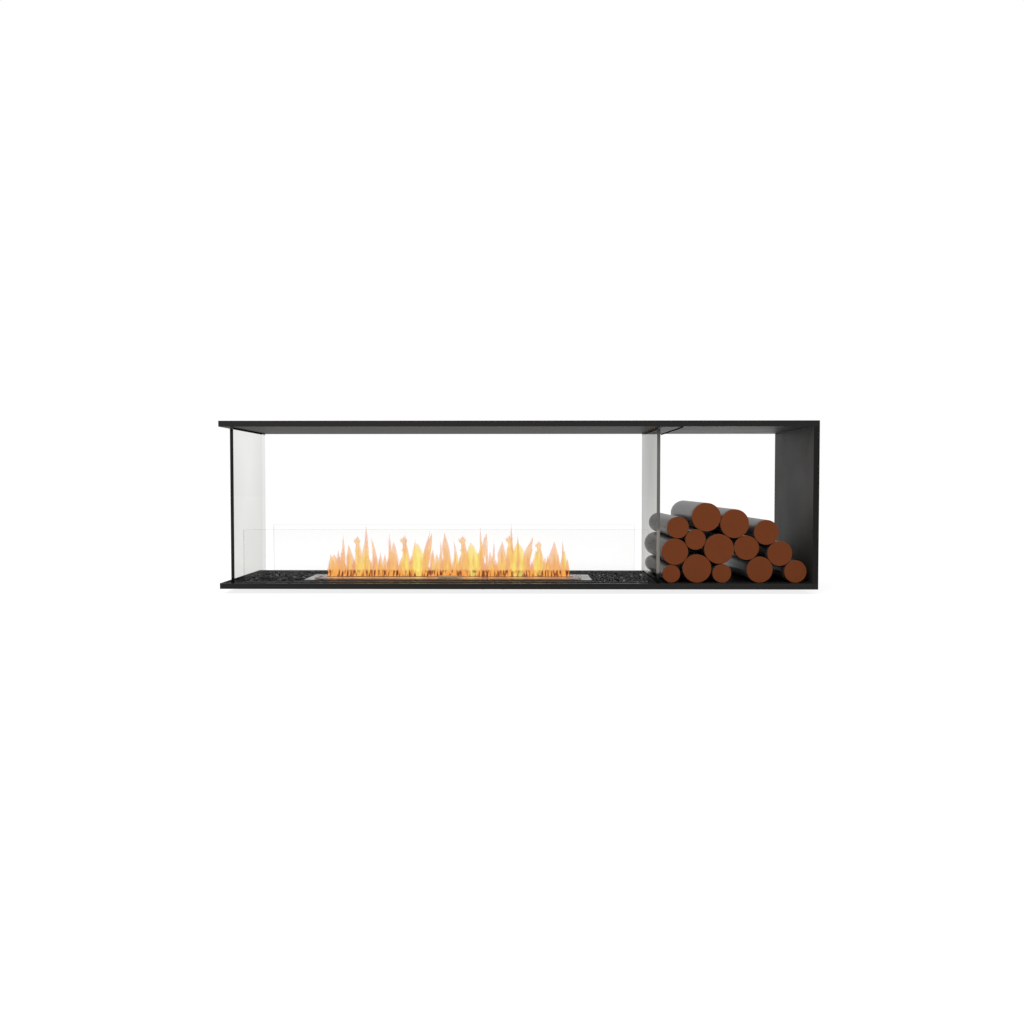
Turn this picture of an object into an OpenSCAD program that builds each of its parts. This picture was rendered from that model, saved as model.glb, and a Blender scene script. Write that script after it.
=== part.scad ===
// Bioethanol fireplace insert with an open fire bay and a log bay, both open to the front and the back.
// Millimetres, +Z up, +X to the log bay, front face towards -Y.
// Origin: middle of the footprint, on the surface that the plinth rails stand on.

/* [Overall] */
// Width of the fire module, from its left end to the joint with the log module
fire_w = 1350; // [1250:10:1800]
// Width of the log module
box_w = 438; // [430:2:700]
// Depth from front face to back face
depth = 410; // [390:5:520]
// Height from the underside of the base to the top of the canopy
body_h = 503; // [440:1:650]
// Thickness of the canopy slab
canopy_t = 17.5; // [16:0.5:30]
// Thickness of the base slab
base_t = 17.5; // [17:0.5:22]
// Thickness of the right side panel
side_t = 17.5; // [14:0.5:30]
// Thickness of the folded steel sheet
sheet_t = 1.5; // [1:0.1:2.5]

/* [Plinth] */
// Height of the recessed rails under the base
plinth_h = 15; // [13:0.5:40]
// Width of one rail, front to back
rail_w = 14; // [10:0.5:20]
// Free width between the two rails
rail_space = 125; // [122:1:200]
// Distance from each end of the body to the rail end
rail_end_inset = 40; // [20:1:120]
// Width of one cross bar along the rails
cross_w = 30; // [15:1:60]
// Hole radius in the rail's lower flange
rail_hole_r = 3.3; // [2.5:0.1:4.5]
// Spacing of those holes along the rails
rail_hole_span = 1500; // [1200:10:1600]

/* [Tall glass] */
// Thickness of the two tall panes
pane_t = 10; // [6:1:12]
// Left end of the body to the left pane
left_pane_inset = 23; // [20:1:60]
// Right face of the divider pane to the module joint
divider_inset = 28; // [20:1:45]
// Front and back faces of the body to the pane edges
pane_setback = 35; // [15:1:40]
// Gap between pane and channel wall
pane_gap = 0.4; // [0.2:0.1:1]
// Wall of the pane channels
channel_wall = 1.5; // [1:0.1:2.5]
// How far a channel runs past the pane edge
channel_over = 1; // [0:1:8]
// How deep a pane reaches into its upper channel
pane_bite = 10; // [6:1:13]
// Height of the setting pads under the panes
pad_h = 3; // [1:0.5:5]
// Length of a setting pad
pad_l = 50; // [20:5:100]
// Height of the clear stops before and behind the panes
stop_h = 6; // [4:0.5:12]
// Length of a stop
stop_l = 12; // [12:1:20]
// Width of a stop
stop_w = 8; // [4:0.5:10]

/* [Windscreens] */
// Length of the low front and back windscreens
screen_l = 1226; // [1000:2:1230]
// Thickness of a windscreen
screen_t = 6; // [4:1:8]
// Top of a windscreen above the underside of the base
screen_top = 177; // [120:1:300]
// Middle of a windscreen to the nearer long face of the body
screen_inset = 39; // [34:1:60]
// Gap between windscreen and channel wall
screen_gap = 0.5; // [0.3:0.1:1]
// Height of the clear seal beads beside the glass
seal_h = 1.6; // [1:0.2:3]

/* [Burner] */
// Length of the burner top plate
plate_l = 900; // [860:10:1000]
// Width of the burner top plate
plate_w = 168; // [150:1:190]
// Thickness of the burner top plate
plate_t = 2; // [1.5:0.1:3]
// Drop of the burner plate below the rim of the base
plate_drop = 2.5; // [1:0.5:4]
// Middle of the fire module to the middle of the burner, along X
burner_shift = -1; // [-20:1:20]
// Length of the flame slot
slot_l = 790; // [600:10:820]
// Width of the flame slot
slot_w = 28; // [20:1:40]
// Middle of the flame slot behind the middle of the body
slot_y = -12; // [-15:1:20]
// Width of the flat ring in front of the slot and at its ends
ring_w = 9; // [5:0.5:12]
// Width of the flat ring behind the slot
ring_back_w = 26; // [5:0.5:30]
// Height of the ring above the plate
ring_h = 2; // [1:0.2:4]
// Wall of the collar that the ring sends down through the plate
collar_wall = 1.5; // [1:0.1:2]
// Length of the fuel box
fuel_l = 866; // [820:2:880]
// Width of the fuel box
fuel_w = 118; // [100:1:120]
// Space between the fuel box and the surface under the body
fuel_ground_gap = 2; // [1:0.5:6]
// Wall of the fuel box
fuel_wall = 1.5; // [1:0.1:2.5]
// Thickness of the ceramic wick
wick_h = 10.5; // [6:0.5:12]
// Gap between wick and fuel box
wick_gap = 1; // [0.5:0.5:4]
// Thickness of the retainer over the wick
retainer_t = 1; // [0.8:0.1:2]
// Radius of the retainer's holes
retainer_hole_r = 6; // [3:0.5:10]
// Number of holes in one row of the retainer
retainer_holes = 16; // [4:1:24]

/* [Shutter] */
// Width of the sliding shutter
shutter_w = 34; // [33:1:44]
// Thickness of the shutter
shutter_t = 2; // [1.5:0.1:3]
// Free strip between the slot ring and the open shutter
shutter_park_gap = 11; // [4:1:16]
// Play between moving parts that face each other
run_gap = 0.3; // [0.2:0.05:0.5]
// How far the shutter's ends reach into the runners
runner_bite = 9.4; // [6:0.2:12]
// Outer wall and upper lip of a runner
runner_wall = 1.7; // [1.2:0.1:3]
// Length of the pull tab
grip_l = 60; // [30:5:120]
// Height of the pull tab
grip_h = 9; // [5:1:15]
// Foot of the pull tab on the shutter
grip_foot = 12; // [8:1:20]
// Sheet of the pull tab
grip_t = 1.5; // [1:0.1:2]

/* [Floor] */
// Play around the burner plate and fuel box in their cut-outs
burner_gap = 1.5; // [0.8:0.1:3]
// Width of floor plate beyond each end of the burner plate
floor_margin = 12; // [8:1:80]
// Distance of the burner's seat angles from the edge of the burner plate
seat_inset = 2; // [1:0.5:4]
// Width of the folded lip along the tray's front, back and left end
hem_w = 3.5; // [2.5:0.5:6]
// Height of that lip
hem_h = 6; // [4:0.5:10]
// Average level of the crushed glass above the rim of the base
media_rise = 1; // [-1:0.5:4]
// How far the crushed glass stands above or below that level
media_rough = 3; // [1:0.5:5]
// Size of one step of the crushed glass surface
media_pitch = 13; // [10:1:20]

/* [Canopy] */
// Width of one stiffener in the canopy
stiff_w = 40; // [20:1:60]
// Stiffener to the long faces of the body
stiff_inset = 14; // [12:1:30]
// Number of stiffeners in the fire module
fire_stiffeners = 4; // [3:1:6]
// Number of stiffeners in the log module
box_stiffeners = 2; // [1:1:3]
// Thickness of the heat boards over the fire bay
board_t = 10; // [6:1:12]
// Depth of the heat boards, front to back
board_w = 300; // [200:5:340]
// Gap between a heat board and the stiffeners beside it
board_gap = 12; // [5:1:30]
// Height of the lining's folded edges
lining_fold = 10; // [5:1:12]
// Width of the cover plate under the module joint
cover_w = 56; // [50:1:90]
// Open joint between the cover plate and the lining over the logs
cover_reveal = 5; // [2:0.5:8]
// Thickness of the cover plate
cover_t = 1.2; // [0.8:0.1:2]
// Spacing of the fixing holes in the canopy along X
canopy_hole_span_x = 1640; // [1500:10:1700]
// Spacing of the fixing holes in the canopy along Y
canopy_hole_span_y = 300; // [200:10:340]
// Radius of the fixing holes in canopy and side panel
fix_hole_r = 3.3; // [2.5:0.1:4.5]

/* [Side panel] */
// Spacing of the two posts inside the side panel
post_span = 300; // [200:5:330]
// Width of a post
post_w = 25; // [15:1:40]
// Wall of a post
post_wall = 1.5; // [1:0.1:2.5]
// Spacing of the side fixing holes along Y
side_hole_span_y = 200; // [100:5:240]
// Spacing of the side fixing holes along Z
side_hole_span_z = 320; // [200:10:400]

/* [Fasteners] */
// Radius of the module bolts
bolt_r = 3; // [2:0.5:4]
// Play of a bolt in its hole
bolt_gap = 0.3; // [0.1:0.1:0.6]
// Spacing of the module bolts along Y
bolt_span = 300; // [200:10:340]
// Radius of a screw's countersunk head
screw_head_r = 3.6; // [3:0.1:5]
// Radius of a screw's shank
screw_r = 1.8; // [1.5:0.1:2.2]
// Length of a screw
screw_l = 6; // [5:0.5:10]
// Play around a screw
screw_gap = 0.1; // [0.05:0.05:0.3]
// Spacing of the screw pairs along Y in the canopy
canopy_screw_span = 260; // [150:10:340]
// Spacing of the three screws up each post
side_screw_span = 180; // [120:10:200]

/* [Logs] */
// Length of a log
log_l = 384; // [250:2:386]
// Front face of the body to the front ends of the logs
log_setback = 20.5; // [10:0.5:30]
// Gap between logs that lie on each other
log_gap = 0.3; // [0.1:0.1:0.5]
// Distance from the divider pane to the middle of the 1st log on the base
log_reach_1 = 32.5; // [28:0.5:36]
// Distance from the divider pane to the middle of the 2nd log on the base
log_reach_2 = 109.5; // [105:0.5:113]
// Distance from the divider pane to the middle of the 3rd log on the base
log_reach_3 = 184; // [180:0.5:188]
// Distance from the divider pane to the middle of the 4th log on the base
log_reach_4 = 297; // [293:0.5:301]
// Distance from the divider pane to the middle of the 5th log on the base
log_reach_5 = 404; // [400:0.5:408]
// Radius of the 1st log, which lies on the base
log_r_1 = 27; // [24:0.5:30]
// Radius of the 2nd log, which lies on the base
log_r_2 = 43; // [40:0.5:46]
// Radius of the 3rd log, which lies on the base
log_r_3 = 28.5; // [25:0.5:31]
// Radius of the 4th log, which lies on the base
log_r_4 = 39.5; // [36:0.5:42]
// Radius of the 5th log, which lies on the base
log_r_5 = 34; // [31:0.5:37]
// Radius of the 6th log, which lies on the 1st and 2nd
log_r_6 = 40; // [37:0.5:43]
// Radius of the 7th log, which lies on the 2nd and 3rd
log_r_7 = 45; // [42:0.5:48]
// Radius of the 8th log, which lies on the 7th and 4th
log_r_8 = 37; // [34:0.5:40]
// Radius of the 9th log, which lies on the 4th and 5th
log_r_9 = 37.5; // [34:0.5:40]
// Radius of the 10th log, which lies on the 6th and 7th
log_r_10 = 31; // [28:0.5:34]
// Radius of the 11th log, which lies on the 6th and 10th
log_r_11 = 33; // [30:0.5:36]
// Radius of the 12th log, which lies on the 10th and 13th
log_r_12 = 43.5; // [40:0.5:46]
// Radius of the 13th log, which lies on the 7th and 8th
log_r_13 = 43.5; // [40:0.5:46]
// Radius of the 14th log, which lies on the 8th and 9th
log_r_14 = 37.5; // [34:0.5:40]

/* [Hidden] */
$fn = 48;

// Faces of the body
left_x = -(fire_w + box_w) / 2;
joint_x = left_x + fire_w;
right_x = joint_x + box_w;
front_y = -depth / 2;
back_y = depth / 2;
rim_z = plinth_h + base_t;
top_z = plinth_h + body_h;
canopy_z = top_z - canopy_t;
tray_z = plinth_h + sheet_t;
roof_z = top_z - sheet_t;
slip = 0.2;

// Tall panes and their channels
left_pane_x = left_x + left_pane_inset;
divider_x = joint_x - divider_inset - pane_t;
pane_y = depth / 2 - pane_setback;
channel_side = pane_gap + channel_wall;
channel_y = pane_y + channel_over;
pane_bottom = tray_z + channel_wall + pad_h;
pane_top = canopy_z + pane_bite;
bay_x = [left_pane_x + pane_t + channel_side, divider_x - channel_side];

// Windscreens
fire_mid_x = left_x + fire_w / 2 + burner_shift;
screen_y = depth / 2 - screen_inset;
screen_side = screen_t / 2 + screen_gap + channel_wall;
screen_bottom = tray_z + channel_wall + run_gap;

// Burner
plate_top = rim_z - plate_drop;
plate_z = plate_top - plate_t;
ring_top = plate_top + ring_h;
ring_half = slot_l / 2 + ring_w;
ring_front = slot_y - slot_w / 2 - ring_w;
fuel_z = fuel_ground_gap;
wick_z = fuel_z + fuel_wall;
shutter_z = ring_top + run_gap;
shutter_front = ring_front - shutter_park_gap - shutter_w;
shutter_half = ring_half + 1 + runner_bite;
shutter_travel = slot_y - shutter_w / 2 - shutter_front;

// Floor
floor_x = [fire_mid_x - plate_l / 2 - floor_margin, fire_mid_x + plate_l / 2 + floor_margin];
floor_y = screen_y - screen_side - slip;
strip_x = [left_x + hem_w + slip, divider_x + pane_t + channel_side];
strip_y = max(screen_y + screen_side, channel_y) + slip;
media_z = rim_z + media_rise;
seat_z = plate_z - run_gap;

// Canopy and side
cover_x = divider_x + pane_t + channel_side + slip;
post_x = [right_x - side_t + sheet_t, right_x - sheet_t];
side_mid_z = (rim_z + canopy_z) / 2;

// Stack of logs seen from the front, as [x, z, radius]. The lowest logs are given
// by their distance from the divider pane, and each log above rests on two others.
function floor_log(reach, r) = [divider_x + pane_t + reach, rim_z + log_gap + r, r];
function resting_log(a, b, r) =
  let (
    ra = a[2] + r + log_gap,
    rb = b[2] + r + log_gap,
    run = b[0] - a[0],
    rise = b[1] - a[1],
    d = sqrt(run * run + rise * rise),
    along = (ra * ra - rb * rb + d * d) / (2 * d),
    up = sqrt(ra * ra - along * along)
  )
  [a[0] + (run * along - rise * up) / d, a[1] + (rise * along + run * up) / d, r];

low_1 = floor_log(log_reach_1, log_r_1);
low_2 = floor_log(log_reach_2, log_r_2);
low_3 = floor_log(log_reach_3, log_r_3);
low_4 = floor_log(log_reach_4, log_r_4);
low_5 = floor_log(log_reach_5, log_r_5);
mid_1 = resting_log(low_1, low_2, log_r_6);
mid_2 = resting_log(low_2, low_3, log_r_7);
mid_3 = resting_log(mid_2, low_4, log_r_8);
mid_4 = resting_log(low_4, low_5, log_r_9);
high_1 = resting_log(mid_1, mid_2, log_r_10);
top_1 = resting_log(mid_1, high_1, log_r_11);
top_3 = resting_log(mid_2, mid_3, log_r_13);
top_2 = resting_log(high_1, top_3, log_r_12);
top_4 = resting_log(mid_3, mid_4, log_r_14);
logs = [
  low_1, low_2, low_3, low_4, low_5, mid_1, mid_2, mid_3, mid_4, high_1, top_1, top_2, top_3, top_4
];

// Finishes
coat = "#2b2b2a";
coat_light = "#67625e";
steel = "#969492";
glass = [0.86, 0.9, 0.9, 0.35];
glass_black = "#15171a";
zinc = "#8d9196";

// Block between two corners, each axis given as [low, high]
module block(x, y, z) {
  translate([x[0], y[0], z[0]])
    cube([x[1] - x[0], y[1] - y[0], z[1] - z[0]]);
}

// [low, high] of a stretch of a given half length about a middle
function about(mid, half) = [mid - half, mid + half];

// Block of a given half size about a middle, standing from z[0] to z[1]
module bar(mid_x, half_x, mid_y, half_y, z) {
  block(about(mid_x, half_x), about(mid_y, half_y), z);
}

// Folded edge around the underside of a slab: a tray with its open side down
module tray_down(x, z) {
  difference() {
    block(x, [front_y, back_y], z);
    block([x[0] + sheet_t, x[1] - sheet_t], [front_y + sheet_t, back_y - sheet_t], [z[0] - 1, z[1] - sheet_t]);
  }
}

// Middles of the stiffeners that share a width evenly
function stiffener_x(x, count) = [for (i = [0:count - 1]) x[0] + (x[1] - x[0]) * (i + 0.5) / count];
fire_stiff_x = stiffener_x([bay_x[0], divider_x - channel_side], fire_stiffeners);
box_stiff_x = stiffener_x([joint_x, right_x - side_t], box_stiffeners);

module at_canopy_screws() {
  for (x = concat(fire_stiff_x, box_stiff_x), s = [-1, 1])
    translate([x, s * canopy_screw_span / 2, top_z]) children();
}

module at_side_screws() {
  for (s = [-1, 1], k = [-1, 0, 1])
    translate([right_x, s * post_span / 2, side_mid_z + k * side_screw_span]) rotate([0, 90, 0]) children();
}

module at_module_bolts() {
  for (s = [-1, 1], z = [plinth_h + base_t / 2, top_z - canopy_t / 2])
    translate([joint_x, s * bolt_span / 2, z]) rotate([0, 90, 0]) children();
}

// Countersunk screw with its head flush at z = 0, grown by the play for its hole
module countersunk(play) {
  translate([0, 0, -sheet_t]) cylinder(h = sheet_t + play, r1 = screw_r + play, r2 = screw_head_r + 2 * play);
  translate([0, 0, -screw_l - play]) cylinder(h = screw_l, r = screw_r + play);
}

module bolt_hole() {
  cylinder(h = 4 * sheet_t, r = bolt_r + bolt_gap, center = true);
}

module plinth_rails() {
  color(coat) for (s = [-1, 1]) difference() {
    mid = s * (rail_space + rail_w) / 2;
    bar(0, (fire_w + box_w) / 2 - rail_end_inset, mid, rail_w / 2, [0, plinth_h]);
    bar(0, (fire_w + box_w) / 2, mid - s * sheet_t, rail_w / 2, [sheet_t, plinth_h - sheet_t]);
    for (k = [-1, 1])
      translate([k * rail_hole_span / 2, mid, -1]) cylinder(h = sheet_t + 2, r = rail_hole_r);
  }
}

module plinth_cross_bars() {
  ends = (fire_w + box_w) / 2 - rail_end_inset - cross_w / 2;
  beside = fuel_l / 2 + burner_gap + cross_w;
  color(coat) for (x = [-ends, fire_mid_x - beside, fire_mid_x + beside, joint_x, ends]) difference() {
    bar(x, cross_w / 2, 0, rail_space / 2, [0, plinth_h]);
    bar(x, cross_w / 2 - sheet_t, 0, rail_space, [-1, plinth_h - sheet_t]);
  }
}

module fire_base_tray() {
  color(coat) difference() {
    union() {
      difference() {
        block([left_x, joint_x], [front_y, back_y], [plinth_h, rim_z]);
        block([left_x + sheet_t, joint_x - sheet_t], [front_y + sheet_t, back_y - sheet_t], [tray_z, rim_z + 1]);
      }
      for (s = [-1, 1])
        bar((left_x + joint_x) / 2, fire_w / 2, s * (depth - hem_w) / 2, hem_w / 2, [rim_z - hem_h, rim_z]);
      block([left_x, left_x + hem_w], [front_y, back_y], [rim_z - hem_h, rim_z]);
      block([divider_x + pane_t + channel_side + slip, joint_x], [front_y, back_y], [rim_z - sheet_t, rim_z]);
    }
    bar(fire_mid_x, fuel_l / 2 + burner_gap, 0, fuel_w / 2 + burner_gap, [plinth_h - 1, tray_z + 1]);
    at_module_bolts() bolt_hole();
  }
}

module log_base_shell() {
  color(coat) difference() {
    tray_down([joint_x, right_x], [plinth_h, rim_z]);
    at_module_bolts() bolt_hole();
  }
}

module log_base_bottom() {
  color(coat)
    block([joint_x + sheet_t + slip, right_x - sheet_t - slip],
          [front_y + sheet_t + slip, back_y - sheet_t - slip], [plinth_h, tray_z]);
}

module log_base_stiffeners() {
  color(coat) for (x = box_stiff_x) difference() {
    bar(x, stiff_w / 2, 0, depth / 2 - stiff_inset, [tray_z, rim_z - sheet_t]);
    bar(x, stiff_w / 2 - sheet_t, 0, depth, [tray_z - 1, rim_z - 2 * sheet_t]);
  }
}

module fire_floor_plate() {
  color(coat) difference() {
    block(floor_x, [-floor_y, floor_y], [tray_z, plate_top]);
    block([floor_x[0] + sheet_t, floor_x[1] - sheet_t], [sheet_t - floor_y, floor_y - sheet_t],
          [tray_z - 1, plate_top - sheet_t]);
    bar(fire_mid_x, plate_l / 2 + burner_gap, 0, plate_w / 2 + burner_gap, [tray_z, plate_top + 1]);
  }
}

// Four angles that carry the rim of the burner plate, each with its upright leg outside
module burner_seat_angles() {
  out_x = plate_l / 2 - seat_inset;
  out_y = plate_w / 2 - seat_inset;
  in_x = fuel_l / 2 + burner_gap;
  in_y = fuel_w / 2 + burner_gap;
  color(zinc) {
    for (s = [-1, 1]) {
      bar(fire_mid_x, out_x, s * (out_y + in_y) / 2, (out_y - in_y) / 2, [seat_z - sheet_t, seat_z]);
      bar(fire_mid_x, out_x, s * (out_y - sheet_t / 2), sheet_t / 2, [tray_z, seat_z]);
    }
    for (s = [-1, 1]) {
      bar(fire_mid_x + s * (out_x + in_x) / 2, (out_x - in_x) / 2, 0, in_y, [seat_z - sheet_t, seat_z]);
      bar(fire_mid_x + s * (out_x - sheet_t / 2), sheet_t / 2, 0, in_y, [tray_z, seat_z]);
    }
  }
}

module tall_pane(x) {
  color(glass) block([x, x + pane_t], [-pane_y, pane_y], [pane_bottom, pane_top]);
}

module left_glass() {
  tall_pane(left_pane_x);
}

module divider_glass() {
  tall_pane(divider_x);
}

module lower_channel(x) {
  color(coat) difference() {
    block([x - channel_side, x + pane_t + channel_side], [-channel_y, channel_y], [tray_z, rim_z]);
    block([x - pane_gap, x + pane_t + pane_gap], [-depth, depth], [tray_z + channel_wall, rim_z + 1]);
  }
}

module upper_channel(x) {
  color(coat) difference() {
    block([x - channel_side, x + pane_t + channel_side], [-channel_y, channel_y], [canopy_z, roof_z]);
    block([x - pane_gap, x + pane_t + pane_gap], [-depth, depth], [canopy_z - 1, roof_z - channel_wall]);
  }
}

module left_lower_channel() {
  lower_channel(left_pane_x);
}

module divider_lower_channel() {
  lower_channel(divider_x);
}

module left_upper_channel() {
  upper_channel(left_pane_x);
}

module divider_upper_channel() {
  upper_channel(divider_x);
}

module glass_setting_pads() {
  color("#1c1c1c") for (x = [left_pane_x, divider_x], s = [-1, 1])
    bar(x + pane_t / 2, pane_t / 2, s * pane_y / 2, pad_l / 2, [tray_z + channel_wall, pane_bottom]);
}

// Clear blocks under the canopy that keep the panes from sliding out of their channels
module glass_edge_stops() {
  color("#b9bab8") for (x = [left_pane_x, divider_x], s = [-1, 1])
    bar(x + pane_t / 2, stop_w / 2, s * (pane_y + slip + stop_l / 2), stop_l / 2, [canopy_z - stop_h, canopy_z]);
}

module screen_channel(y) {
  color(coat) difference() {
    block([bay_x[0] + slip, bay_x[1] - slip], [y - screen_side, y + screen_side], [tray_z, rim_z]);
    block([bay_x[0], bay_x[1]], [y - screen_side + channel_wall, y + screen_side - channel_wall],
          [tray_z + channel_wall, rim_z + 1]);
  }
}

module front_screen_channel() {
  screen_channel(-screen_y);
}

module rear_screen_channel() {
  screen_channel(screen_y);
}

// Clear beads on the channel walls, one on each side of each windscreen
module screen_seals() {
  color("white") for (y = [-screen_y, screen_y], s = [-1, 1])
    bar(fire_mid_x, screen_l / 2, y + s * (screen_side + screen_t / 2 + run_gap) / 2,
        (screen_side - screen_t / 2 - run_gap) / 2, [rim_z, rim_z + seal_h]);
}

module windscreen(y) {
  color(glass) bar(fire_mid_x, screen_l / 2, y, screen_t / 2, [screen_bottom, plinth_h + screen_top]);
}

module front_screen() {
  windscreen(-screen_y);
}

module rear_screen() {
  windscreen(screen_y);
}

module at_canopy_fixings() {
  for (i = [-1, 1], j = [-1, 1])
    translate([i * canopy_hole_span_x / 2, j * canopy_hole_span_y / 2, roof_z - 1]) children();
}

module canopy_shell(x) {
  color(coat) difference() {
    tray_down(x, [canopy_z, top_z]);
    at_canopy_fixings() cylinder(h = sheet_t + 2, r = fix_hole_r);
    at_canopy_screws() countersunk(screw_gap);
    at_module_bolts() bolt_hole();
  }
}

module fire_canopy_shell() {
  canopy_shell([left_x, joint_x]);
}

module log_canopy_shell() {
  canopy_shell([joint_x, right_x]);
}

module canopy_lining(x) {
  y = depth / 2 - sheet_t - slip;
  block(x, [-y, y], [canopy_z, canopy_z + sheet_t]);
  for (s = [-1, 1])
    bar((x[0] + x[1]) / 2, (x[1] - x[0]) / 2, s * (y - sheet_t / 2), sheet_t / 2, [canopy_z, canopy_z + lining_fold]);
}

module fire_canopy_lining() {
  color(coat_light) difference() {
    canopy_lining([left_x + sheet_t + slip, joint_x - sheet_t - slip]);
    for (x = [left_pane_x, divider_x])
      bar(x + pane_t / 2, pane_t / 2 + channel_side + slip, 0, channel_y + slip, [canopy_z - 1, roof_z]);
  }
}

module log_canopy_lining() {
  color(coat_light) canopy_lining([cover_x + cover_w + cover_reveal, right_x - sheet_t - slip]);
}

// Top hats between lining and roof, open downwards
module canopy_stiffeners() {
  color(zinc) for (x = concat(fire_stiff_x, box_stiff_x)) difference() {
    bar(x, stiff_w / 2, 0, depth / 2 - stiff_inset, [canopy_z + sheet_t, roof_z]);
    bar(x, stiff_w / 2 - sheet_t, 0, depth, [canopy_z, roof_z - sheet_t]);
    at_canopy_screws() countersunk(screw_gap);
  }
}

module canopy_heat_boards() {
  color("#d9d4c8") for (i = [0:fire_stiffeners - 2])
    block([fire_stiff_x[i] + stiff_w / 2 + board_gap, fire_stiff_x[i + 1] - stiff_w / 2 - board_gap],
          [-board_w / 2, board_w / 2], [canopy_z + sheet_t, canopy_z + sheet_t + board_t]);
}

module joint_cover_plate() {
  color(coat_light)
    block([cover_x, cover_x + cover_w], [front_y + sheet_t, back_y - sheet_t], [canopy_z - cover_t, canopy_z]);
}

module side_outer_panel() {
  color(coat) difference() {
    block([right_x - side_t, right_x], [front_y, back_y], [rim_z, canopy_z]);
    block([right_x - side_t - 1, right_x - sheet_t], [front_y + sheet_t, back_y - sheet_t], [rim_z - 1, canopy_z + 1]);
    at_side_screws() countersunk(screw_gap);
    for (i = [-1, 1], j = [-1, 1])
      translate([right_x - sheet_t - 1, i * side_hole_span_y / 2, side_mid_z + j * side_hole_span_z / 2])
        rotate([0, 90, 0]) cylinder(h = sheet_t + 2, r = fix_hole_r);
  }
}

module side_inner_panel() {
  color(coat_light)
    block([right_x - side_t, right_x - side_t + sheet_t],
          [front_y + sheet_t + slip, back_y - sheet_t - slip], [rim_z, canopy_z]);
}

module side_posts() {
  color(zinc) for (s = [-1, 1]) difference() {
    block(post_x, about(s * post_span / 2, post_w / 2), [rim_z, canopy_z]);
    block(post_x + [post_wall, -post_wall], about(s * post_span / 2, post_w / 2 - post_wall),
          [rim_z - 1, canopy_z + 1]);
    at_side_screws() countersunk(screw_gap);
  }
}

// Hexagon bolts through the two touching end walls, each with its nut
module module_bolts() {
  head_h = 4;
  nut_h = 5;
  tail = 2;
  hex_r = 1.9 * bolt_r;
  color(zinc) at_module_bolts() {
    translate([0, 0, -sheet_t - head_h]) cylinder(h = head_h, r = hex_r, $fn = 6);
    translate([0, 0, -sheet_t - head_h]) cylinder(h = head_h + 2 * sheet_t + nut_h + tail, r = bolt_r);
    translate([0, 0, sheet_t]) cylinder(h = nut_h, r = hex_r, $fn = 6);
  }
}

module canopy_screws() {
  color(coat) at_canopy_screws() countersunk(0);
}

module side_screws() {
  color(coat) at_side_screws() countersunk(0);
}

// Closed bed with a flat bottom and a rough top. The height at each grid point is the bed's
// level plus a share of media_rough that repeats the same way each time.
module rubble_bed(x, y, seed) {
  nx = max(2, round((x[1] - x[0]) / media_pitch));
  ny = max(2, round((y[1] - y[0]) / media_pitch));
  rough = rands(-1, 1, (nx + 1) * (ny + 1), seed);
  function px(i) = x[0] + (x[1] - x[0]) * i / nx;
  function py(j) = y[0] + (y[1] - y[0]) * j / ny;
  function on_edge(i, j) = i == 0 || i == nx || j == 0 || j == ny;
  top = [
    for (j = [0:ny], i = [0:nx])
      [px(i), py(j), media_z - (on_edge(i, j) ? media_rough : -media_rough * rough[j * (nx + 1) + i])]
  ];
  rim = concat(
    [for (i = [0:nx - 1]) i],
    [for (j = [0:ny - 1]) j * (nx + 1) + nx],
    [for (i = [0:nx - 1]) ny * (nx + 1) + nx - i],
    [for (j = [0:ny - 1]) (ny - j) * (nx + 1)]
  );
  n = len(rim);
  first = len(top);
  bottom = concat([for (k = rim) [top[k][0], top[k][1], tray_z]], [[(x[0] + x[1]) / 2, (y[0] + y[1]) / 2, tray_z]]);
  top_faces = [
    for (j = [0:ny - 1], i = [0:nx - 1], half = [0, 1])
      let (a = j * (nx + 1) + i, b = a + 1, c = a + nx + 2, d = a + nx + 1)
      half == 0 ? [a, c, b] : [a, d, c]
  ];
  side_faces = [
    for (k = [0:n - 1])
      let (m = (k + 1) % n)
      [first + k, rim[k], rim[m], first + m]
  ];
  bottom_faces = [for (k = [0:n - 1]) [first + k, first + (k + 1) % n, first + n]];
  color(glass_black) polyhedron(points = concat(top, bottom), faces = concat(top_faces, side_faces, bottom_faces));
}

module crushed_glass_left() {
  rubble_bed([bay_x[0] + slip, floor_x[0] - slip], [-floor_y, floor_y], 11);
  rubble_bed([strip_x[0], left_pane_x - channel_side - slip], [slip - strip_y, strip_y - slip], 15);
}

module crushed_glass_right() {
  rubble_bed([floor_x[1] + slip, bay_x[1] - slip], [-floor_y, floor_y], 12);
}

module crushed_glass_front() {
  rubble_bed(strip_x, [front_y + hem_w + slip, -strip_y], 13);
}

module crushed_glass_rear() {
  rubble_bed(strip_x, [strip_y, back_y - hem_w - slip], 14);
}

module burner_top_plate() {
  color(steel) difference() {
    bar(fire_mid_x, plate_l / 2, 0, plate_w / 2, [plate_z, plate_top]);
    bar(fire_mid_x, slot_l / 2 + collar_wall + screw_gap, slot_y, slot_w / 2 + collar_wall + screw_gap,
        [plate_z - 1, plate_top + 1]);
  }
}

module slot_ring() {
  color(steel) difference() {
    union() {
      block(about(fire_mid_x, ring_half), [ring_front, slot_y + slot_w / 2 + ring_back_w], [plate_top, ring_top]);
      bar(fire_mid_x, slot_l / 2 + collar_wall, slot_y, slot_w / 2 + collar_wall, [plate_z, plate_top]);
    }
    bar(fire_mid_x, slot_l / 2, slot_y, slot_w / 2, [plate_z - 1, ring_top + 1]);
  }
}

module fuel_box() {
  color(steel) difference() {
    bar(fire_mid_x, fuel_l / 2, 0, fuel_w / 2, [fuel_z, plate_z]);
    bar(fire_mid_x, fuel_l / 2 - fuel_wall, 0, fuel_w / 2 - fuel_wall, [wick_z, plate_z + 1]);
  }
}

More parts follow.
